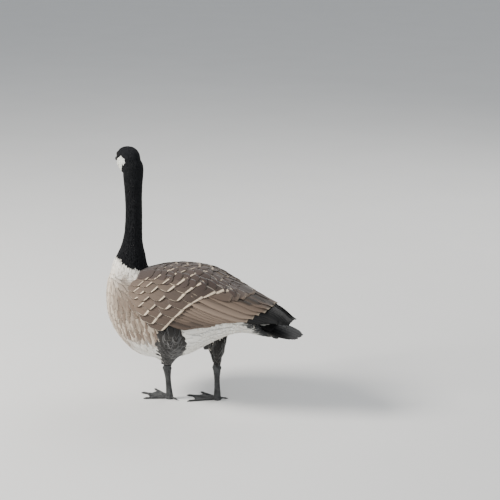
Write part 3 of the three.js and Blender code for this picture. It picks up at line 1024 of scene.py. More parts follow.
@dataclass
class BodySkin:
    """The one skin of head, neck, trunk and thighs, and the way that small feathers lie on it."""

    voxel: float = 0.0024
    rounds: int = 7
    depth: float = 0.0022
    head_up: Span = (0.6, 0.64)
    head_thinner: float = 0.55
    nodes: tuple[str, ...] = ("torso", "neck", "head", "thigh_left", "thigh_right")
    markings: Markings = field(default_factory=Markings)
    bare_end: tuple[float, float] = (0.2, 0.6)
    bare_eye: float = 0.56
    droop: float = 0.12
    chest: Zone = Zone(along=(0.0, -0.15), facing_up=(0.75, 0.1))
    chest_steep: float = 4.0
    belly: Zone = Zone(facing_up=(-0.35, -0.8))
    rear: Zone = Zone(along=(0.06, 0.12))
    nape: Span = (-0.03, 0.012)
    neck_way: tuple[float, float, float] = (0.06, 0.0, -1.0)
    leg_way: tuple[float, float, float] = (-0.15, 0.0, -1.0)
    head_fall: tuple[float, float] = (-0.25, -1.0)
    brow: Span = (0.02, -0.005)
    cheek_up: Span = (0.665, 0.64)
    head_start: Span = (0.618, 0.64)
    sway: float = 0.09
    vary: float = 0.1
    vary_limits: Span = (0.75, 1.3)
    tone_at: float = 0.55
    root_lift: float = 0.0003
    wing_reach: tuple[float, float, float] = (0.08, 0.03, 0.007)
    points: Array = field(init=False)
    normals: Array = field(init=False)
    unwrap: Array = field(init=False)
    bare: Array = field(init=False)
    tree: BVHTree = field(init=False)
    covers: list[BVHTree] = field(init=False)

    def build(self, down: bpy.types.Material) -> bpy.types.Object:
        """Fuses the nodes into the skin, sinks it by the coat's depth and colours it.

        Args:
            down: the skin's finish.

        Returns:
            The skin, which replaces the nodes.
        """
        mesh = fuse_nodes("skin", list(self.nodes), self.voxel, self.rounds)
        points, normals = read_mesh(mesh)
        thinner = self.head_thinner * ease(points[:, 2], *self.head_up)
        points -= normals * (self.depth * (1.0 - thinner))[:, None]
        move_points(mesh, points)
        self.markings.thighs += [node_tree("thigh_left"), node_tree("thigh_right")]
        tone, _, _ = self.markings.paint(points, normals, np.random.default_rng(SEED))
        give_color(mesh, "base", tone)
        self.points, self.normals, self.tree = points, normals, tree_of(mesh)
        self.bare = ~((points[:, 0] + MIDDLE > self.bare_end[0]) & (normals[:, 0] > self.bare_end[1]))
        for side in Side:
            low, high = (np.array(corner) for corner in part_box(f"eye_{side.word}"))
            away = np.linalg.norm(points - (low + high) / 2, axis=1)
            self.bare &= away > (high - low)[2] * self.bare_eye
        self.covers = [node_tree(node) for node in ("wing_left", "wing_right", "tail")]
        skin = make_object("skin", mesh, down)
        self.unwrap = self.unfold(skin)
        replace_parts(skin, *self.nodes)
        return skin

    def unfold(self, skin: bpy.types.Object) -> Array:
        """Unwraps the skin by its own shape.

        Args:
            skin: the skin's object.

        Returns:
            A place on the unwrap for each of its points.
        """
        bpy.context.view_layer.objects.active = skin
        skin.select_set(True)
        bpy.ops.object.mode_set(mode="EDIT")
        bpy.ops.mesh.select_all(action="SELECT")
        bpy.ops.uv.smart_project(angle_limit=math.radians(66), island_margin=0.002)
        bpy.ops.object.mode_set(mode="OBJECT")
        skin.select_set(False)
        mesh = skin.data
        loops = np.empty(len(mesh.loops), dtype=np.int32)
        mesh.loops.foreach_get("vertex_index", loops)
        flat = np.empty(len(mesh.loops) * 2, dtype=np.float32)
        mesh.uv_layers.active.data.foreach_get("uv", flat)
        places = np.zeros((len(mesh.vertices), 2))
        places[loops] = flat.reshape(-1, 2)
        return places

    def lie(self, points: Array, normals: Array) -> Array:
        """The way that the feathers point at each place.

        Args:
            points: places on the skin.
            normals: the skin's normals there.

        Returns:
            Directions along the skin.
        """
        x, z = points[:, 0] + MIDDLE, points[:, 2]
        place = {"along": x, "facing_up": normals[:, 2]}
        steep = self.droop + self.chest_steep * self.chest.share(place)
        body = np.stack([np.ones(len(x)), np.zeros(len(x)), -steep], 1)
        level = np.maximum(self.belly.share(place), self.rear.share(place))
        body = unit(blend(body, np.array([1.0, 0.0, 0.0]), level))
        way = blend(body, np.array(self.neck_way), ease(self.markings.above_collar(points), *self.nape))
        way[self.markings.on_thigh(points)] = self.leg_way
        back = -HEAD.ahead() + np.array([0.0, 0.0, self.head_fall[0]])
        fall = -HEAD.ahead() * 0.5 + np.array([0.0, 0.0, self.head_fall[1]])
        brow = ease(HEAD.local(points)[:, 0], *self.brow)
        on_head = blend(back, fall, np.maximum(brow, ease(z, *self.cheek_up)))
        way = blend(way, on_head, ease(z, *self.head_start))
        return unit(way - normals * np.sum(way * normals, axis=1, keepdims=True))

    def scatter(self, chosen: Array, spacing: float, rng: np.random.Generator) -> Array:
        """Picks places spread evenly over part of the skin.

        Args:
            chosen: which of the skin's points may be picked.
            spacing: how far apart the places are.
            rng: the seeded draw.

        Returns:
            The numbers of the points picked.
        """
        numbers = rng.permutation(np.flatnonzero(chosen))
        cells = np.floor(self.points[numbers] / spacing + rng.random(3)).astype(int)
        _, first = np.unique(cells, axis=0, return_index=True)
        numbers = numbers[np.sort(first)]
        return numbers[[not self.covered(self.points[i], self.normals[i]) for i in numbers]]

    def dress(self, part: CoatPart, chosen: Array, material: bpy.types.Material,
              grow: Array | None = None) -> bpy.types.Object:
        """Covers part of the skin with feathers.

        Args:
            part: the part's name and the sizes of its feathers.
            chosen: which of the skin's points it covers.
            material: their finish.
            grow: how much larger the feathers are at each of the skin's points.

        Returns:
            The coat piece.
        """
        rng = np.random.default_rng(SEED + len(part.name))
        picked = self.scatter(chosen & self.bare, part.spacing, rng)
        points, normals = self.points[picked], self.normals[picked]
        way = self.lie(points, normals)
        way = unit(way + np.cross(normals, way) * rng.normal(0.0, self.sway, len(picked))[:, None])
        tone, edge, wide = self.markings.paint(points + way * part.length * self.tone_at, normals, rng)
        coat = Feathers(part.shape)
        t, _ = part.shape.stations()
        scale = np.ones(len(picked)) if grow is None else grow[picked]
        scale = scale * (1.0 + self.vary * rng.normal(0.0, 1.0, len(picked))).clip(*self.vary_limits)
        for i, number in enumerate(picked):
            line, ups = self.follow(points[i], normals[i], way[i], part.length * scale[i], t)
            stand = self.root_lift + part.lift * scale[i] * t * (0.7 + 0.3 * rng.random())
            line = line + ups * stand[:, None]
            rim = np.append(edge[i], wide[i])
            coat.lay(line, ups, part.half * scale[i], tone[i], rim, rng.random(), self.unwrap[number],
                     tilt=0.0002 * rng.normal(), bend=4.0)
        return coat.build(part.name, material, part.slot)

    def covered(self, point: Array, normal: Array) -> bool:
        """Tells whether a wing or the tail lies close over a place, so that no feather roots there.

        Args:
            point: the place on the skin.
            normal: the skin's normal there.

        Returns:
            True where something lies over it.
        """
        start, way = Vector(point + normal * 0.0008), Vector(normal)
        reach = self.wing_reach[1] if point[0] < self.wing_reach[0] else self.wing_reach[2]
        return any(cover.ray_cast(start, way, reach)[0] is not None for cover in self.covers)

    def follow(self, root: Array, normal: Array, way: Array, reach: float, t: Array) -> tuple[Array, Array]:
        """Follows the skin from a root, so that a feather lies along it.

        Args:
            root: where the feather roots.
            normal: the skin's normal there.
            way: which way it points.
            reach: how long it is.
            t: the rows' places along it.

        Returns:
            The shaft's points on the skin and the ways out of the body there.
        """
        found = [(root, normal)]
        for _ in range(2):
            guess = found[-1][0] + way * reach * 0.5
            place, out, _, _ = self.tree.find_nearest(Vector(guess))
            far = place is None or (place - Vector(guess)).length > reach * 0.4
            if far or np.array(out) @ found[-1][1] < 0.5:
                place, out = guess, found[-1][1]
            found.append((np.array(place), np.array(out)))
        (a, na), (b, nb), (c, nc) = found
        s = t[:, None]
        line = a * (1 - s) * (1 - 2 * s) + 4 * b * s * (1 - s) + c * s * (2 * s - 1)
        return line, unit(na * (1 - s) ** 2 + 2 * nb * s * (1 - s) + nc * s ** 2)


@dataclass(frozen=True)
class Coat:
    """The small feathers of head, neck, trunk and thighs, part by part."""

    breast: CoatPart = CoatPart("coat_breast", Slot.PALE, 0.0062, 0.026, 0.0078, 0.0012, BODY_SHAPE)
    belly: CoatPart = CoatPart("coat_belly", Slot.WHITE, 0.0068, 0.028, 0.0085, 0.0013, BODY_SHAPE)
    side: CoatPart = CoatPart("coat_side", Slot.PALE, 0.0066, 0.046, 0.0064, 0.0016, SIDE_SHAPE)
    neck: CoatPart = CoatPart("coat_neck", Slot.BLACK, 0.0036, 0.0105, 0.0024, 0.0006, TUFT_SHAPE)
    head: CoatPart = CoatPart("coat_head", Slot.BLACK, 0.0027, 0.0070, 0.0018, 0.0004, TUFT_SHAPE)
    face: CoatPart = CoatPart("coat_face", Slot.BLACK, 0.0024, 0.0042, 0.0013, 0.0003, TUFT_SHAPE)
    head_from: float = 0.632
    collar_overlap: float = -0.004
    side_from: tuple[float, float] = (0.052, 0.15)
    side_along: Span = (-0.225, -0.02)
    breast_end: float = -0.06
    beak_side: Span = (0.015, 0.055)
    beak_up: Span = (0.62, 0.64)
    thigh_from: float = 0.02
    thigh_up: Span = (0.128, 0.165)
    thigh_size: tuple[float, float] = (0.42, 0.62)
    smaller_up: Span = (0.3, 0.4)
    larger_along: Span = (-0.06, 0.02)
    tail_along: Span = (0.15, 0.21)
    side_up: Span = (0.3, 0.38)

    def size(self, x: Array, y: Array, z: Array) -> Array:
        """How large the trunk's feathers are: small at the neck, the knees and the tail.

        Args:
            x: the places along the body.
            y: how far each lies from its middle.
            z: their heights.

        Returns:
            The feathers' scale at each place.
        """
        size = 1.0 - 0.4 * ease(z, *self.smaller_up) + 0.3 * ease(x, *self.larger_along)
        size = size - 0.45 * ease(x, *self.tail_along)
        thigh = (y > self.thigh_from) & (z < self.thigh_up[1])
        size = np.where(thigh, size * self.thigh_size[1], size)
        return np.where(thigh & (z < self.thigh_up[0]), self.thigh_size[0], size)

    def dress(self, body: BodySkin, soft: bpy.types.Material, streaked: bpy.types.Material,
              velvet: bpy.types.Material) -> None:
        """Sorts the skin's points into the parts and covers each.

        Args:
            body: the skin.
            soft: the finish of breast and belly.
            streaked: the finish of the sides.
            velvet: the finish of head and neck.
        """
        x, y, z = body.points[:, 0] + MIDDLE, np.abs(body.points[:, 1]), body.points[:, 2]
        ahead = HEAD.local(body.points)[:, 0]
        by_beak = ease(ahead, *self.beak_side) * ease(z, *self.beak_up) >= 0.5
        on_head = z > self.head_from
        on_neck = ~on_head & (body.markings.above_collar(body.points) > self.collar_overlap)
        along_side = (x > self.side_along[0]) & (x < self.side_along[1])
        on_side = ~on_head & ~on_neck & (y > self.side_from[0]) & along_side & (z > self.side_from[1])
        on_body = ~on_head & ~on_neck & ~on_side
        front = on_body & (x < self.breast_end)
        size = self.size(x, y, z)
        body.dress(self.breast, front, soft, size)
        body.dress(self.belly, on_body & ~front, soft, size)
        body.dress(self.side, on_side, streaked, 1.0 - 0.4 * ease(z, *self.side_up))
        body.dress(self.neck, on_neck, velvet)
        body.dress(self.head, on_head & ~by_beak, velvet)
        body.dress(self.face, on_head & by_beak, velvet)


@dataclass(frozen=True)
class FeatherRow:
    """A row of feathers whose roots and tips lie along two lines of a surface.

    Attributes:
        roots: places along the body in millimetres, and angles up the side in degrees.
        tips: the same for the tips.
        count: how many feathers there are.
        half: half the width of the first and of the last one, in millimetres.
        lift: how far roots and tips stand off the surface, in millimetres.
        tone: the colours of the first and of the last one.
        edge: the colour of the pale edge.
        wide: its width as a share of the feather.
        tilt: how much higher the upper edge lies than the shaft, in metres.
        sag: how far the middle of a feather hangs below the line from root to tip, in degrees.
        slant: how much sooner the lower edge ends than the upper one.
        dull: how far the pale edge is lost toward the row's end.
        dull_span: where along the row it is lost.
    """

    roots: tuple[tuple[float, float], ...]
    tips: tuple[tuple[float, float], ...]
    count: int
    half: Span
    lift: Span
    tone: tuple[Array, Array]
    edge: Array
    wide: float
    tilt: float = 0.0013
    sag: float = 0.0
    slant: float = 0.0
    dull: float = 0.0
    dull_span: Span = (0.45, 0.95)


@dataclass(frozen=True)
class FoldedWing:
    """The outer surface of a folded wing in rings along the body, as the solids have it, in millimetres.

    Each ring gives the height of its middle, half its width, and how far it goes up and down from there.
    """

    side: Side
    start: float = -150.0
    step: float = 50.0
    fullness: float = 2.3
    bend: float = 3.5
    fall: float = 0.2
    rings: tuple[tuple[float, float, float, float], ...] = (
        (266, 105, 102, 100), (262, 120, 117, 100), (261, 126, 127, 100), (262, 125, 128, 100),
        (266, 118, 119, 90), (269, 104, 95, 80), (270, 86, 73, 60), (268, 67, 56, 45), (262, 50, 42, 30),
        (252, 38, 22, 20),
    )

    @property
    def hand(self) -> int:
        """The sign that turns a row's upper edges to the wing's upper side."""
        return self.side.value

    def spot(self, x: float, angle: float) -> Array:
        """A place on the unwrap of the surface.

        Args:
            x: the place along the body, in millimetres.
            angle: the angle up the side, in degrees.

        Returns:
            Its two coordinates.
        """
        return np.array([(x - self.start + 40.0) / 540.0, (angle + 20.0) / 180.0])

    def point(self, x: Array, angle: Array, rise: Array | float = 0.0) -> Array:
        """Points of the wing.

        Args:
            x: places along the body, in millimetres.
            angle: angles up the wing's side, in radians.
            rise: how far outside the surface, in millimetres.

        Returns:
            The points, in metres.
        """
        z, half, up, down = curve_row(np.array(self.rings, dtype=float), (x - self.start) / self.step).T
        beyond = x - np.clip(x, self.start, self.start + self.step * (len(self.rings) - 1))
        power = 2.0 / self.fullness
        c, s = np.cos(angle), np.sin(angle)
        across = np.sign(c) * np.abs(c) ** power * (half + rise)
        high = np.sign(s) * np.abs(s) ** power * (np.where(s > 0, up, down) + rise)
        place = np.stack([x - MIDDLE * 1000, self.hand * across, z + high - np.abs(beyond) * self.fall], -1)
        return place / 1000.0


@dataclass(frozen=True)
class TailFan:
    """The tail's upper surface, which slopes down and spreads, in millimetres."""

    root: float = 204.0
    tip: float = 321.0
    height: float = 262.0
    slope: float = 0.28
    root_half: float = 36.0
    tip_half: float = 45.0
    droop: float = 6.0
    hand: int = 1
    bend: float = 1.0

    def spot(self, x: float, angle: float) -> Array:
        """A place on the unwrap of the fan.

        Args:
            x: the place along the body, in millimetres.
            angle: the angle round the fan, in degrees.

        Returns:
            Its two coordinates.
        """
        return np.array([(x - self.root + 20.0) / 160.0, (angle + 90.0) / 180.0])

    def point(self, x: Array, angle: Array, rise: Array | float = 0.0) -> Array:
        """Points of the tail.

        Args:
            x: places along the body, in millimetres.
            angle: angles round the fan, in radians.
            rise: how far above the surface, in millimetres.

        Returns:
            The points, in metres.
        """
        t = (x - self.root) / (self.tip - self.root)
        half = self.root_half + (self.tip_half - self.root_half) * t
        z = self.height - self.slope * (x - self.root) - self.droop * (1 - np.cos(angle)) + rise
        return np.stack([x - MIDDLE * 1000, half * np.sin(angle), z], -1) / 1000.0


@dataclass(frozen=True)
class Disorder:
    """How unevenly the large feathers lie: the spread of roots and tips, lift, tone and pale edge."""

    root: float = 0.6
    tip: Span = (1.6, 0.5)
    lift: float = 0.25
    tone: float = 0.06
    edge: float = 0.12

    def lay_row(self, coat: Feathers, surface: FoldedWing | TailFan, row: FeatherRow,
                rng: np.random.Generator) -> None:
        """Lays a row of feathers on a surface.

        Args:
            coat: the coat piece that they join.
            surface: the wing or tail that they lie on.
            row: the row.
            rng: the seeded draw.
        """
        t, _ = coat.shape.stations()
        q = np.linspace(0.0, 1.0, row.count)
        roots = curve_row(np.array(row.roots, dtype=float), q * (len(row.roots) - 1))
        tips = curve_row(np.array(row.tips, dtype=float), q * (len(row.tips) - 1))
        for i in range(row.count):
            root = roots[i] + rng.normal(0.0, self.root, 2)
            tip = tips[i] + rng.normal(0.0, 1.0, 2) * self.tip
            x = root[0] + (tip[0] - root[0]) * t
            angle = np.radians(root[1] + (tip[1] - root[1]) * t - row.sag * np.sin(math.pi * t))
            rise = row.lift[0] + (row.lift[1] - row.lift[0]) * t + self.lift * rng.normal()
            centres = surface.point(x, angle, rise)
            ups = unit(surface.point(x, angle, rise + 1.0) - centres)
            half = row.half[0] + (row.half[1] - row.half[0]) * q[i]
            tone = blend(row.tone[0], row.tone[1], q[i]) * (1.0 + self.tone * rng.normal())
            edge = blend(row.edge, tone, row.dull * ease(q[i], *row.dull_span))
            rim = np.append(edge, row.wide * (1.0 + self.edge * rng.normal()))
            coat.lay(centres, ups, half / 1000.0, tone, rim, rng.random(), surface.spot(root[0], root[1]),
                     tilt=-row.tilt * surface.hand, bend=surface.bend, face=-surface.hand, slant=row.slant)


def make_bed(name: str, node: str, voxel: float, rounds: int, end: float, depth: float, tone: Array,
             down: bpy.types.Material) -> None:
    """Makes the ground that large feathers lie on, a little inside the node that it replaces.

    Args:
        name: the piece's name.
        node: the node that it replaces.
        voxel: the size of the grid that fuses it.
        rounds: how many times it is smoothed.
        end: where it is cut off behind, so that the feathers' tips stand free.
        depth: how far inside the node it lies.
        tone: its colour.
        down: its finish.
    """
    mesh = fuse_nodes(name, [node], voxel, rounds, end)
    points, normals = read_mesh(mesh)
    move_points(mesh, points - normals * depth)
    give_color(mesh, "base", np.broadcast_to(tone, points.shape))
    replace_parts(make_object(name, mesh, down), node)


@dataclass
class Wing:
    """A folded wing: its bed, its quills and its rows of coverts."""

    side: Side
    bed_end: float = 0.17
    bed_depth: float = 0.0016
    voxel: float = 0.0026
    rounds: int = 10
    quills: tuple[FeatherRow, ...] = (
        FeatherRow(((140, 16), (150, 48), (154, 84)),
                   ((232, 11), (258, 18), (282, 32), (297, 46), (301, 60), (302, 74), (299, 86)), 12,
                   (13, 15), (-3.5, -1.5), (PRIMARY, PRIMARY), PRIMARY, 0.0, 0.0010),
        FeatherRow(((-30, 2), (70, 26)), ((52, -5), (108, -2), (152, 4), (192, 8)), 11, (12, 15), (-1.2, 1.6),
                   (COVERT, TERTIAL), DULL_EDGE, 0.025, 0.0018, sag=-1.5),
        FeatherRow(((40, 27), (74, 86)), ((198, 10), (214, 23), (234, 41), (242, 60), (245, 82)), 6, (17, 22),
                   (0.0, 2.8), (TERTIAL, COVERT), CREAM_EDGE, 0.014, 0.0030, sag=-3.0),
    )
    coverts: tuple[FeatherRow, ...] = (
        FeatherRow(((70, 50), (62, 90)), ((150, 52), (176, 70), (186, 90)), 5, (18, 20), (1.0, 3.6),
                   (COVERT, SCAPULAR), DULL_EDGE, 0.06, 0.0016),
        FeatherRow(((-78, 0), (-6, 32), (64, 66)), ((-15, -4), (60, 26), (130, 62)), 8, (17, 20), (0.2, 3.2),
                   (COVERT, SCAPULAR), CREAM_EDGE, 0.115, 0.0016, slant=0.7),
        FeatherRow(((-100, 6), (-22, 44), (38, 80)), ((-44, 1), (34, 37), (98, 78)), 8, (16, 20), (0.4, 3.4),
                   (COVERT, SCAPULAR), CREAM_EDGE, 0.12, 0.0016, slant=0.47, dull=0.3),
        FeatherRow(((-118, 15), (-50, 54), (2, 86)), ((-70, 8), (2, 47), (60, 84)), 8, (15, 19), (0.4, 3.5),
                   (FLANK, SCAPULAR), CREAM_EDGE, 0.115, 0.0016, slant=0.4, dull=0.4),
        FeatherRow(((-134, 24), (-78, 62), (-30, 88)), ((-92, 17), (-26, 57), (24, 86)), 8, (14, 18),
                   (0.2, 3.5), (FLANK, SCAPULAR), CREAM_EDGE, 0.115, 0.0016, slant=0.46, dull=0.5),
        FeatherRow(((-148, 34), (-104, 68), (-62, 90)), ((-108, 26), (-56, 64), (-10, 88)), 8, (13, 17),
                   (-0.6, 3.2), (FLANK, MANTLE), CREAM_EDGE, 0.115, 0.0014, slant=0.46, dull=0.5),
        FeatherRow(((-156, 44), (-130, 72), (-96, 91)), ((-120, 38), (-84, 70), (-44, 89)), 7, (12, 16),
                   (-1.6, 2.8), (FLANK, MANTLE), CREAM_EDGE, 0.115, 0.0012, slant=0.42, dull=0.5),
    )

    def build(self, quill: bpy.types.Material, vane: bpy.types.Material, down: bpy.types.Material) -> None:
        """Builds the bed under the feathers and lays the quills and the coverts.

        Args:
            quill: the finish of the long feathers.
            vane: the finish of the coverts.
            down: the finish of the bed.
        """
        word = self.side.word
        make_bed(f"wing_bed_{word}", f"wing_{word}", self.voxel, self.rounds, self.bed_end, self.bed_depth,
                 COVERT, down)
        rng = np.random.default_rng(SEED + self.side.value)
        self.cover(f"quills_{word}", FLIGHT_SHAPE, self.quills, rng, quill, Slot.QUILL)
        self.cover(f"coverts_{word}", COVERT_SHAPE, self.coverts, rng, vane, Slot.BROWN)

    def cover(self, name: str, shape: VaneShape, rows: tuple[FeatherRow, ...], rng: np.random.Generator,
              material: bpy.types.Material, slot: Slot) -> None:
        """Lays rows of feathers in one piece.

        Args:
            name: the piece's name.
            shape: the feathers' outline.
            rows: the rows, from the lowest.
            rng: the seeded draw.
            material: their finish.
            slot: the record's slot.
        """
        coat = Feathers(shape)
        for row in rows:
            Disorder().lay_row(coat, FoldedWing(self.side), row, rng)
        coat.build(name, material, slot)


@dataclass
class Mantle:
    """The feathers across the back, which close the gap between the wings, in millimetres and degrees."""

    first: float = -146.0
    step: float = 24.0
    count: int = 11
    angle: float = 66.0
    angle_step: float = 3.0
    widest: int = 4
    rump_row: int = 8
    rump_angle: float = 62.0
    roots: Span = (6.0, -4.0)
    tips: Span = (56.0, 52.0)
    spread: float = 4.0
    fewest: int = 7
    half: float = 17.0
    lift: Span = (0.0, 3.8)
    edge: float = 0.028

    def row(self, k: int) -> FeatherRow:
        """One row from side to side over the middle of the back.

        Args:
            k: its number from the neck.

        Returns:
            The row.
        """
        x = self.first + self.step * k
        low = self.rump_angle if k >= self.rump_row else self.angle - self.angle_step * min(k, self.widest)
        out = low - self.spread
        roots = ((x + self.roots[0], low), (x + self.roots[1], 90.0), (x + self.roots[0], 180.0 - low))
        tips = ((x + self.tips[0], out), (x + self.tips[1], 90.0), (x + self.tips[0], 180.0 - out))
        return FeatherRow(roots, tips, self.fewest + k % 2, (self.half, self.half), self.lift,
                          (MANTLE, MANTLE), DULL_EDGE, self.edge, 0.0)

    def build(self, vane: bpy.types.Material) -> None:
        """Lays the rows on the left wing's surface, whose angles run on past the middle.

        Args:
            vane: their finish.
        """
        rng = np.random.default_rng(SEED)
        coat = Feathers(MANTLE_SHAPE)
        for k in range(self.count):
            Disorder().lay_row(coat, FoldedWing(Side.LEFT), self.row(k), rng)
        coat.build("coat_mantle", vane, Slot.BROWN)


@dataclass
class Tail:
    """The tail: its bed, its fan of quills, and the white coverts over its root."""

    bed_end: float = 0.222
    bed_depth: float = 0.0008
    voxel: float = 0.0016
    rounds: int = 6
    quills: FeatherRow = FeatherRow(
        ((222, -66), (226, 0), (222, 66)),
        ((286, -74), (305, -54), (318, -27), (321, 0), (318, 27), (305, 54), (286, 74)), 18, (10.5, 10.5),
        (-2.6, -0.8), (TAIL_BLACK, TAIL_BLACK), TAIL_BLACK, 0.0, 0.0008)
    upper: FeatherRow = FeatherRow(
        ((196, -24), (198, 0), (196, 24)), ((230, -28), (236, 0), (230, 28)), 7,
        (11, 11), (0.2, 2.4), (BELLY, BELLY), BELLY, 0.1)

    def build(self, quill: bpy.types.Material, vane: bpy.types.Material, down: bpy.types.Material) -> None:
        """Builds the bed under the feathers and lays the fan and its coverts.

        Args:
            quill: the finish of the fan.
            vane: the finish of the coverts.
            down: the finish of the bed.
        """
        make_bed("tail_bed", "tail", self.voxel, self.rounds, self.bed_end, self.bed_depth,
                 TAIL_BLACK, down)
        rng = np.random.default_rng(SEED)
        fan = Feathers(FLIGHT_SHAPE)
        Disorder().lay_row(fan, TailFan(), self.quills, rng)
        fan.build("tail_quills", quill, Slot.QUILL)
        cover = Feathers(MANTLE_SHAPE)
        Disorder().lay_row(cover, TailFan(), self.upper, rng)
        cover.build("tail_coverts", vane, Slot.WHITE)


@dataclass
class Bill:
    """The bill: both halves softened from the solids, with nostrils and the line of the mouth."""

    voxel: float = 0.0007

    def build(self, horn: bpy.types.Material) -> None:
        """Builds the two halves.

        Args:
            horn: their finish.
        """
        for node in ("bill_upper", "bill_lower"):
            mesh = fuse_nodes(f"{node}_horn", [node], self.voxel, 5)
            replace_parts(make_object(f"{node}_horn", mesh, horn), node)


@dataclass
class Eye:
    """An eye with its pupil, iris and the lids round it."""

    side: Side
    look_ahead: float = 0.2
    look_up: float = 0.06
    pupil: Span = (0.86, 0.88)
    lid_tube: float = 0.0012
    lid_share: float = 0.76
    lid_height: float = 0.7
    lid_flat: float = 0.9

    def build(self, wet: bpy.types.Material, skin: bpy.types.Material) -> None:
        """Builds the ball and the lids.

        Args:
            wet: the ball's finish.
            skin: the lids' finish.
        """
        low, high = (np.array(corner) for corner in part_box(f"eye_{self.side.word}"))
        centre, radius = (low + high) / 2, float((high - low)[2] / 2)
        left = np.array([math.sin(HEAD.turn), -math.cos(HEAD.turn), 0.0])
        out = left * -self.side.value + HEAD.ahead() * self.look_ahead + np.array([0.0, 0.0, self.look_up])
        turn = Vector((0.0, 0.0, 1.0)).rotation_difference(Vector(unit(out))).to_matrix().to_4x4()
        turn.translation = Vector(centre)
        self.ball(centre, radius, unit(out), turn, wet)
        self.lids(radius, turn, skin)

    def ball(self, centre: Array, radius: float, out: Array, turn: Matrix, wet: bpy.types.Material) -> None:
        """Builds the ball, coloured by how far each point faces outward.

        Args:
            centre: its middle.
            radius: its radius.
            out: the way that it looks.
            turn: the turn and shift that put it there.
            wet: its finish.
        """
        node = f"eye_{self.side.word}"
        bm = bmesh.new()
        bmesh.ops.create_uvsphere(bm, u_segments=40, v_segments=28, radius=radius)
        bmesh.ops.transform(bm, matrix=turn, verts=bm.verts)
        mesh = smooth_mesh(bm, f"{node}_ball")
        points, _ = read_mesh(mesh)
        facing = (points - centre) @ out / radius
        give_color(mesh, "base", blend(IRIS, PUPIL, ease(facing, *self.pupil)))
        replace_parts(make_object(f"{node}_ball", mesh, wet), node)

    def lids(self, radius: float, turn: Matrix, skin: bpy.types.Material) -> None:
        """Builds the ring of the lids, a little lower than it is wide.

        Args:
            radius: the ball's radius.
            turn: the turn and shift that put it on the ball.
            skin: its finish.
        """
        bm = bmesh.new()
        ring = bmesh.ops.create_circle(bm, segments=12, radius=self.lid_tube)
        upright = Vector((0, 0, 1)).rotation_difference(Vector((0, 1, 0))).to_matrix()
        bmesh.ops.rotate(bm, verts=ring["verts"], cent=(0, 0, 0), matrix=upright)
        place = (radius * self.lid_share, 0.0, radius * self.lid_height)
        bmesh.ops.translate(bm, verts=ring["verts"], vec=place)
        bmesh.ops.spin(bm, geom=[*bm.verts, *bm.edges], cent=(0, 0, 0), axis=(0, 0, 1), angle=2 * math.pi,
                       steps=40, use_merge=True)
        bmesh.ops.scale(bm, verts=bm.verts, vec=(1.0, self.lid_flat, 1.0))
        bmesh.ops.recalc_face_normals(bm, faces=bm.faces)
        bmesh.ops.transform(bm, matrix=turn, verts=bm.verts)
        name = f"eyelid_{self.side.word}"
        make_object(name, smooth_mesh(bm, name), skin)


@dataclass
class Leg:
    """A shank with its scutes, a webbed foot and four claws."""

    side: Side
    voxel: float = 0.0011
    claw_voxel: float = 0.0005
    scute: float = 0.0052
    scute_rise: float = 0.0005
    crease: float = 0.6
    shank_front: Span = (0.1, 0.6)
    shank_up: Span = (0.012, 0.02)
    toe_up: Span = (0.012, 0.009)
    toe_top: Span = (0.4, 0.8)
    toe_share: float = 0.7
    claw_rise: float = 0.0004
    digits: tuple[str, ...] = ("inner", "middle", "outer", "hind")

    def build(self, skin: bpy.types.Material, horn: bpy.types.Material) -> None:
        """Builds the leg in one skin and its claws.

        Args:
            skin: the leg's finish.
            horn: the claws' finish.
        """
        word = self.side.word
        nodes = [f"shank_{word}", f"foot_{word}"]
        claws = [f"claw_{word}_{digit}" for digit in self.digits]
        mesh = fuse_nodes(f"leg_{word}", nodes + claws, self.voxel, 5)
        points, normals = read_mesh(mesh)
        self.stand(mesh, points + normals * self.scutes(points, normals)[:, None])
        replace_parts(make_object(f"leg_{word}", mesh, skin), *nodes)
        mesh = fuse_nodes(f"claws_{word}", claws, self.claw_voxel, 3)
        points, normals = read_mesh(mesh)
        self.stand(mesh, points + normals * self.claw_rise)
        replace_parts(make_object(f"claws_{word}", mesh, horn), *claws)

    def scutes(self, points: Array, normals: Array) -> Array:
        """Works out how far the plates rise down the front of the shank and along the toes.

        Args:
            points: the leg's points.
            normals: the normals there.

        Returns:
            The rise at each point.
        """
        rounds = np.abs(np.sin(points / self.scute * math.pi)) ** 0.5
        front = ease(-normals[:, 0], *self.shank_front) * ease(points[:, 2], *self.shank_up)
        toes = rounds[:, 0] * ease(points[:, 2], *self.toe_up)
        top = ease(normals[:, 2], *self.toe_top) * self.toe_share
        return self.scute_rise * ((rounds[:, 2] - self.crease) * front + (toes - self.crease) * top)

    def stand(self, mesh: bpy.types.Mesh, points: Array) -> None:
        """Moves a mesh's points and keeps them on or above the floor.

        Args:
            mesh: the mesh to move.
            points: the new places.
        """
        points[:, 2] = np.maximum(points[:, 2], 0.0)
        move_points(mesh, points)


@dataclass(frozen=True)
class Lamp:
    """A soft square light: its name, place, width, power in watts and colour."""

    name: str
    place: tuple[float, float, float]
    size: float
    power: float
    color: tuple[float, float, float]


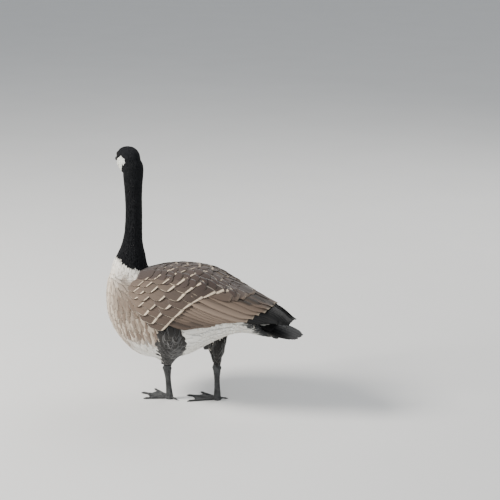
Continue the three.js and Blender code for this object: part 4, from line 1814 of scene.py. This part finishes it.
@dataclass
class Studio:
    """The pale floor, the soft lights and the photograph's camera."""

    azimuth: float = math.radians(25)
    elevation: float = math.radians(17.5)
    distance: float = 4.1
    view: float = math.radians(19.2)
    target: tuple[float, float, float] = (-MIDDLE, 0.0, 0.30)
    aim: tuple[float, float] = (0.1623, 0.130)
    floor_half: float = 40.0
    sky: Color = (0.86, 0.9, 0.95, 1.0)
    sky_strength: float = 0.6
    lamps: tuple[Lamp, ...] = (
        Lamp("key", (-2.8, -1.7, 3.0), 1.3, 300.0, (1.0, 0.96, 0.9)),
        Lamp("fill", (1.6, -3.4, 1.6), 2.6, 45.0, (0.93, 0.96, 1.0)),
        Lamp("back", (0.8, 2.6, 2.6), 2.2, 55.0, (1.0, 0.98, 0.95)),
    )

    def build(self, floor: bpy.types.Material) -> None:
        """Sets the floor, the lights and the camera.

        Args:
            floor: the floor's finish.
        """
        bm = bmesh.new()
        bmesh.ops.create_grid(bm, x_segments=1, y_segments=1, size=self.floor_half)
        mesh = smooth_mesh(bm, "floor")
        plane = bpy.data.objects.new("floor", mesh)
        mesh.materials.append(floor)
        bpy.context.scene.collection.objects.link(plane)
        for lamp in self.lamps:
            self.light(lamp)
        world = bpy.data.worlds.new("studio")
        world.use_nodes = True
        world.node_tree.nodes["Background"].inputs[0].default_value = self.sky
        world.node_tree.nodes["Background"].inputs[1].default_value = self.sky_strength
        bpy.context.scene.world = world
        self.camera()

    def light(self, lamp: Lamp) -> None:
        """Adds a light that faces the bird.

        Args:
            lamp: the light's place and size.
        """
        light = bpy.data.lights.new(lamp.name, "AREA")
        light.size, light.energy, light.color = lamp.size, lamp.power, lamp.color
        holder = bpy.data.objects.new(lamp.name, light)
        holder.location = lamp.place
        toward = Vector(self.target) - Vector(lamp.place)
        holder.rotation_euler = toward.to_track_quat("-Z", "Y").to_euler()
        bpy.context.scene.collection.objects.link(holder)

    def camera(self) -> None:
        """Sets the camera at the photograph's viewing angle and framing."""
        a, e = self.azimuth, self.elevation
        toward = Vector((math.sin(a) * math.cos(e), -math.cos(a) * math.cos(e), math.sin(e)))
        right = Vector((math.cos(a), math.sin(a), 0.0))
        up = toward.cross(right)
        eye = Vector(self.target) + toward * self.distance
        look = Vector(self.target) + right * self.aim[0] + up * self.aim[1]
        lens = bpy.data.cameras.new("camera")
        lens.sensor_fit = "HORIZONTAL"
        lens.angle = self.view
        holder = bpy.data.objects.new("camera", lens)
        holder.location = eye
        holder.rotation_euler = (look - eye).to_track_quat("-Z", "Y").to_euler()
        bpy.context.scene.collection.objects.link(holder)
        bpy.context.scene.camera = holder


def main() -> None:
    """Builds the bird piece by piece."""
    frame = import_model()
    for node, piece in frame["nodes"].items():
        FRAME_NODES[node] = piece.name
    Studio().build(FloorFinish().build())
    down, horn, scales = DownFinish().build(), HornFinish().build(), LegFinish().build()
    wet, lids = EyeFinish().build(), LegFinish("lid", LID, LID_WORN).build()
    # slope sets the painted shade across each vane
    vane = VaneFinish("covert_vane", barbs=60.0, slope=0.15).build()
    soft = VaneFinish("soft_vane", barbs=14.0, contrast=0.25, shaft=0.04, sheen=0.2).build()
    streaked = VaneFinish("streaked_vane", barbs=7.0, contrast=0.5, shaft=0.1, sheen=0.1).build()
    velvet = VaneFinish("velvet_vane", 0.9, 0.12, barbs=12.0, contrast=0.25, shaft=0.0, sheen=0.0).build()
    quill = VaneFinish("quill_vane", 0.55, barbs=130.0, contrast=0.22, shaft=0.55, sheen=0.0,
                       slope=0.95).build()
    body = BodySkin()
    body.build(down)
    Coat().dress(body, soft, streaked, velvet)
    Mantle().build(vane)
    for side in Side:
        Wing(side).build(quill, vane, down)
        Leg(side).build(scales, horn)
        Eye(side).build(wet, lids)
    Tail().build(quill, vane, down)
    Bill().build(horn)


if __name__ == "__main__":
    logging.basicConfig(level=logging.INFO, format="%(message)s")
    main()
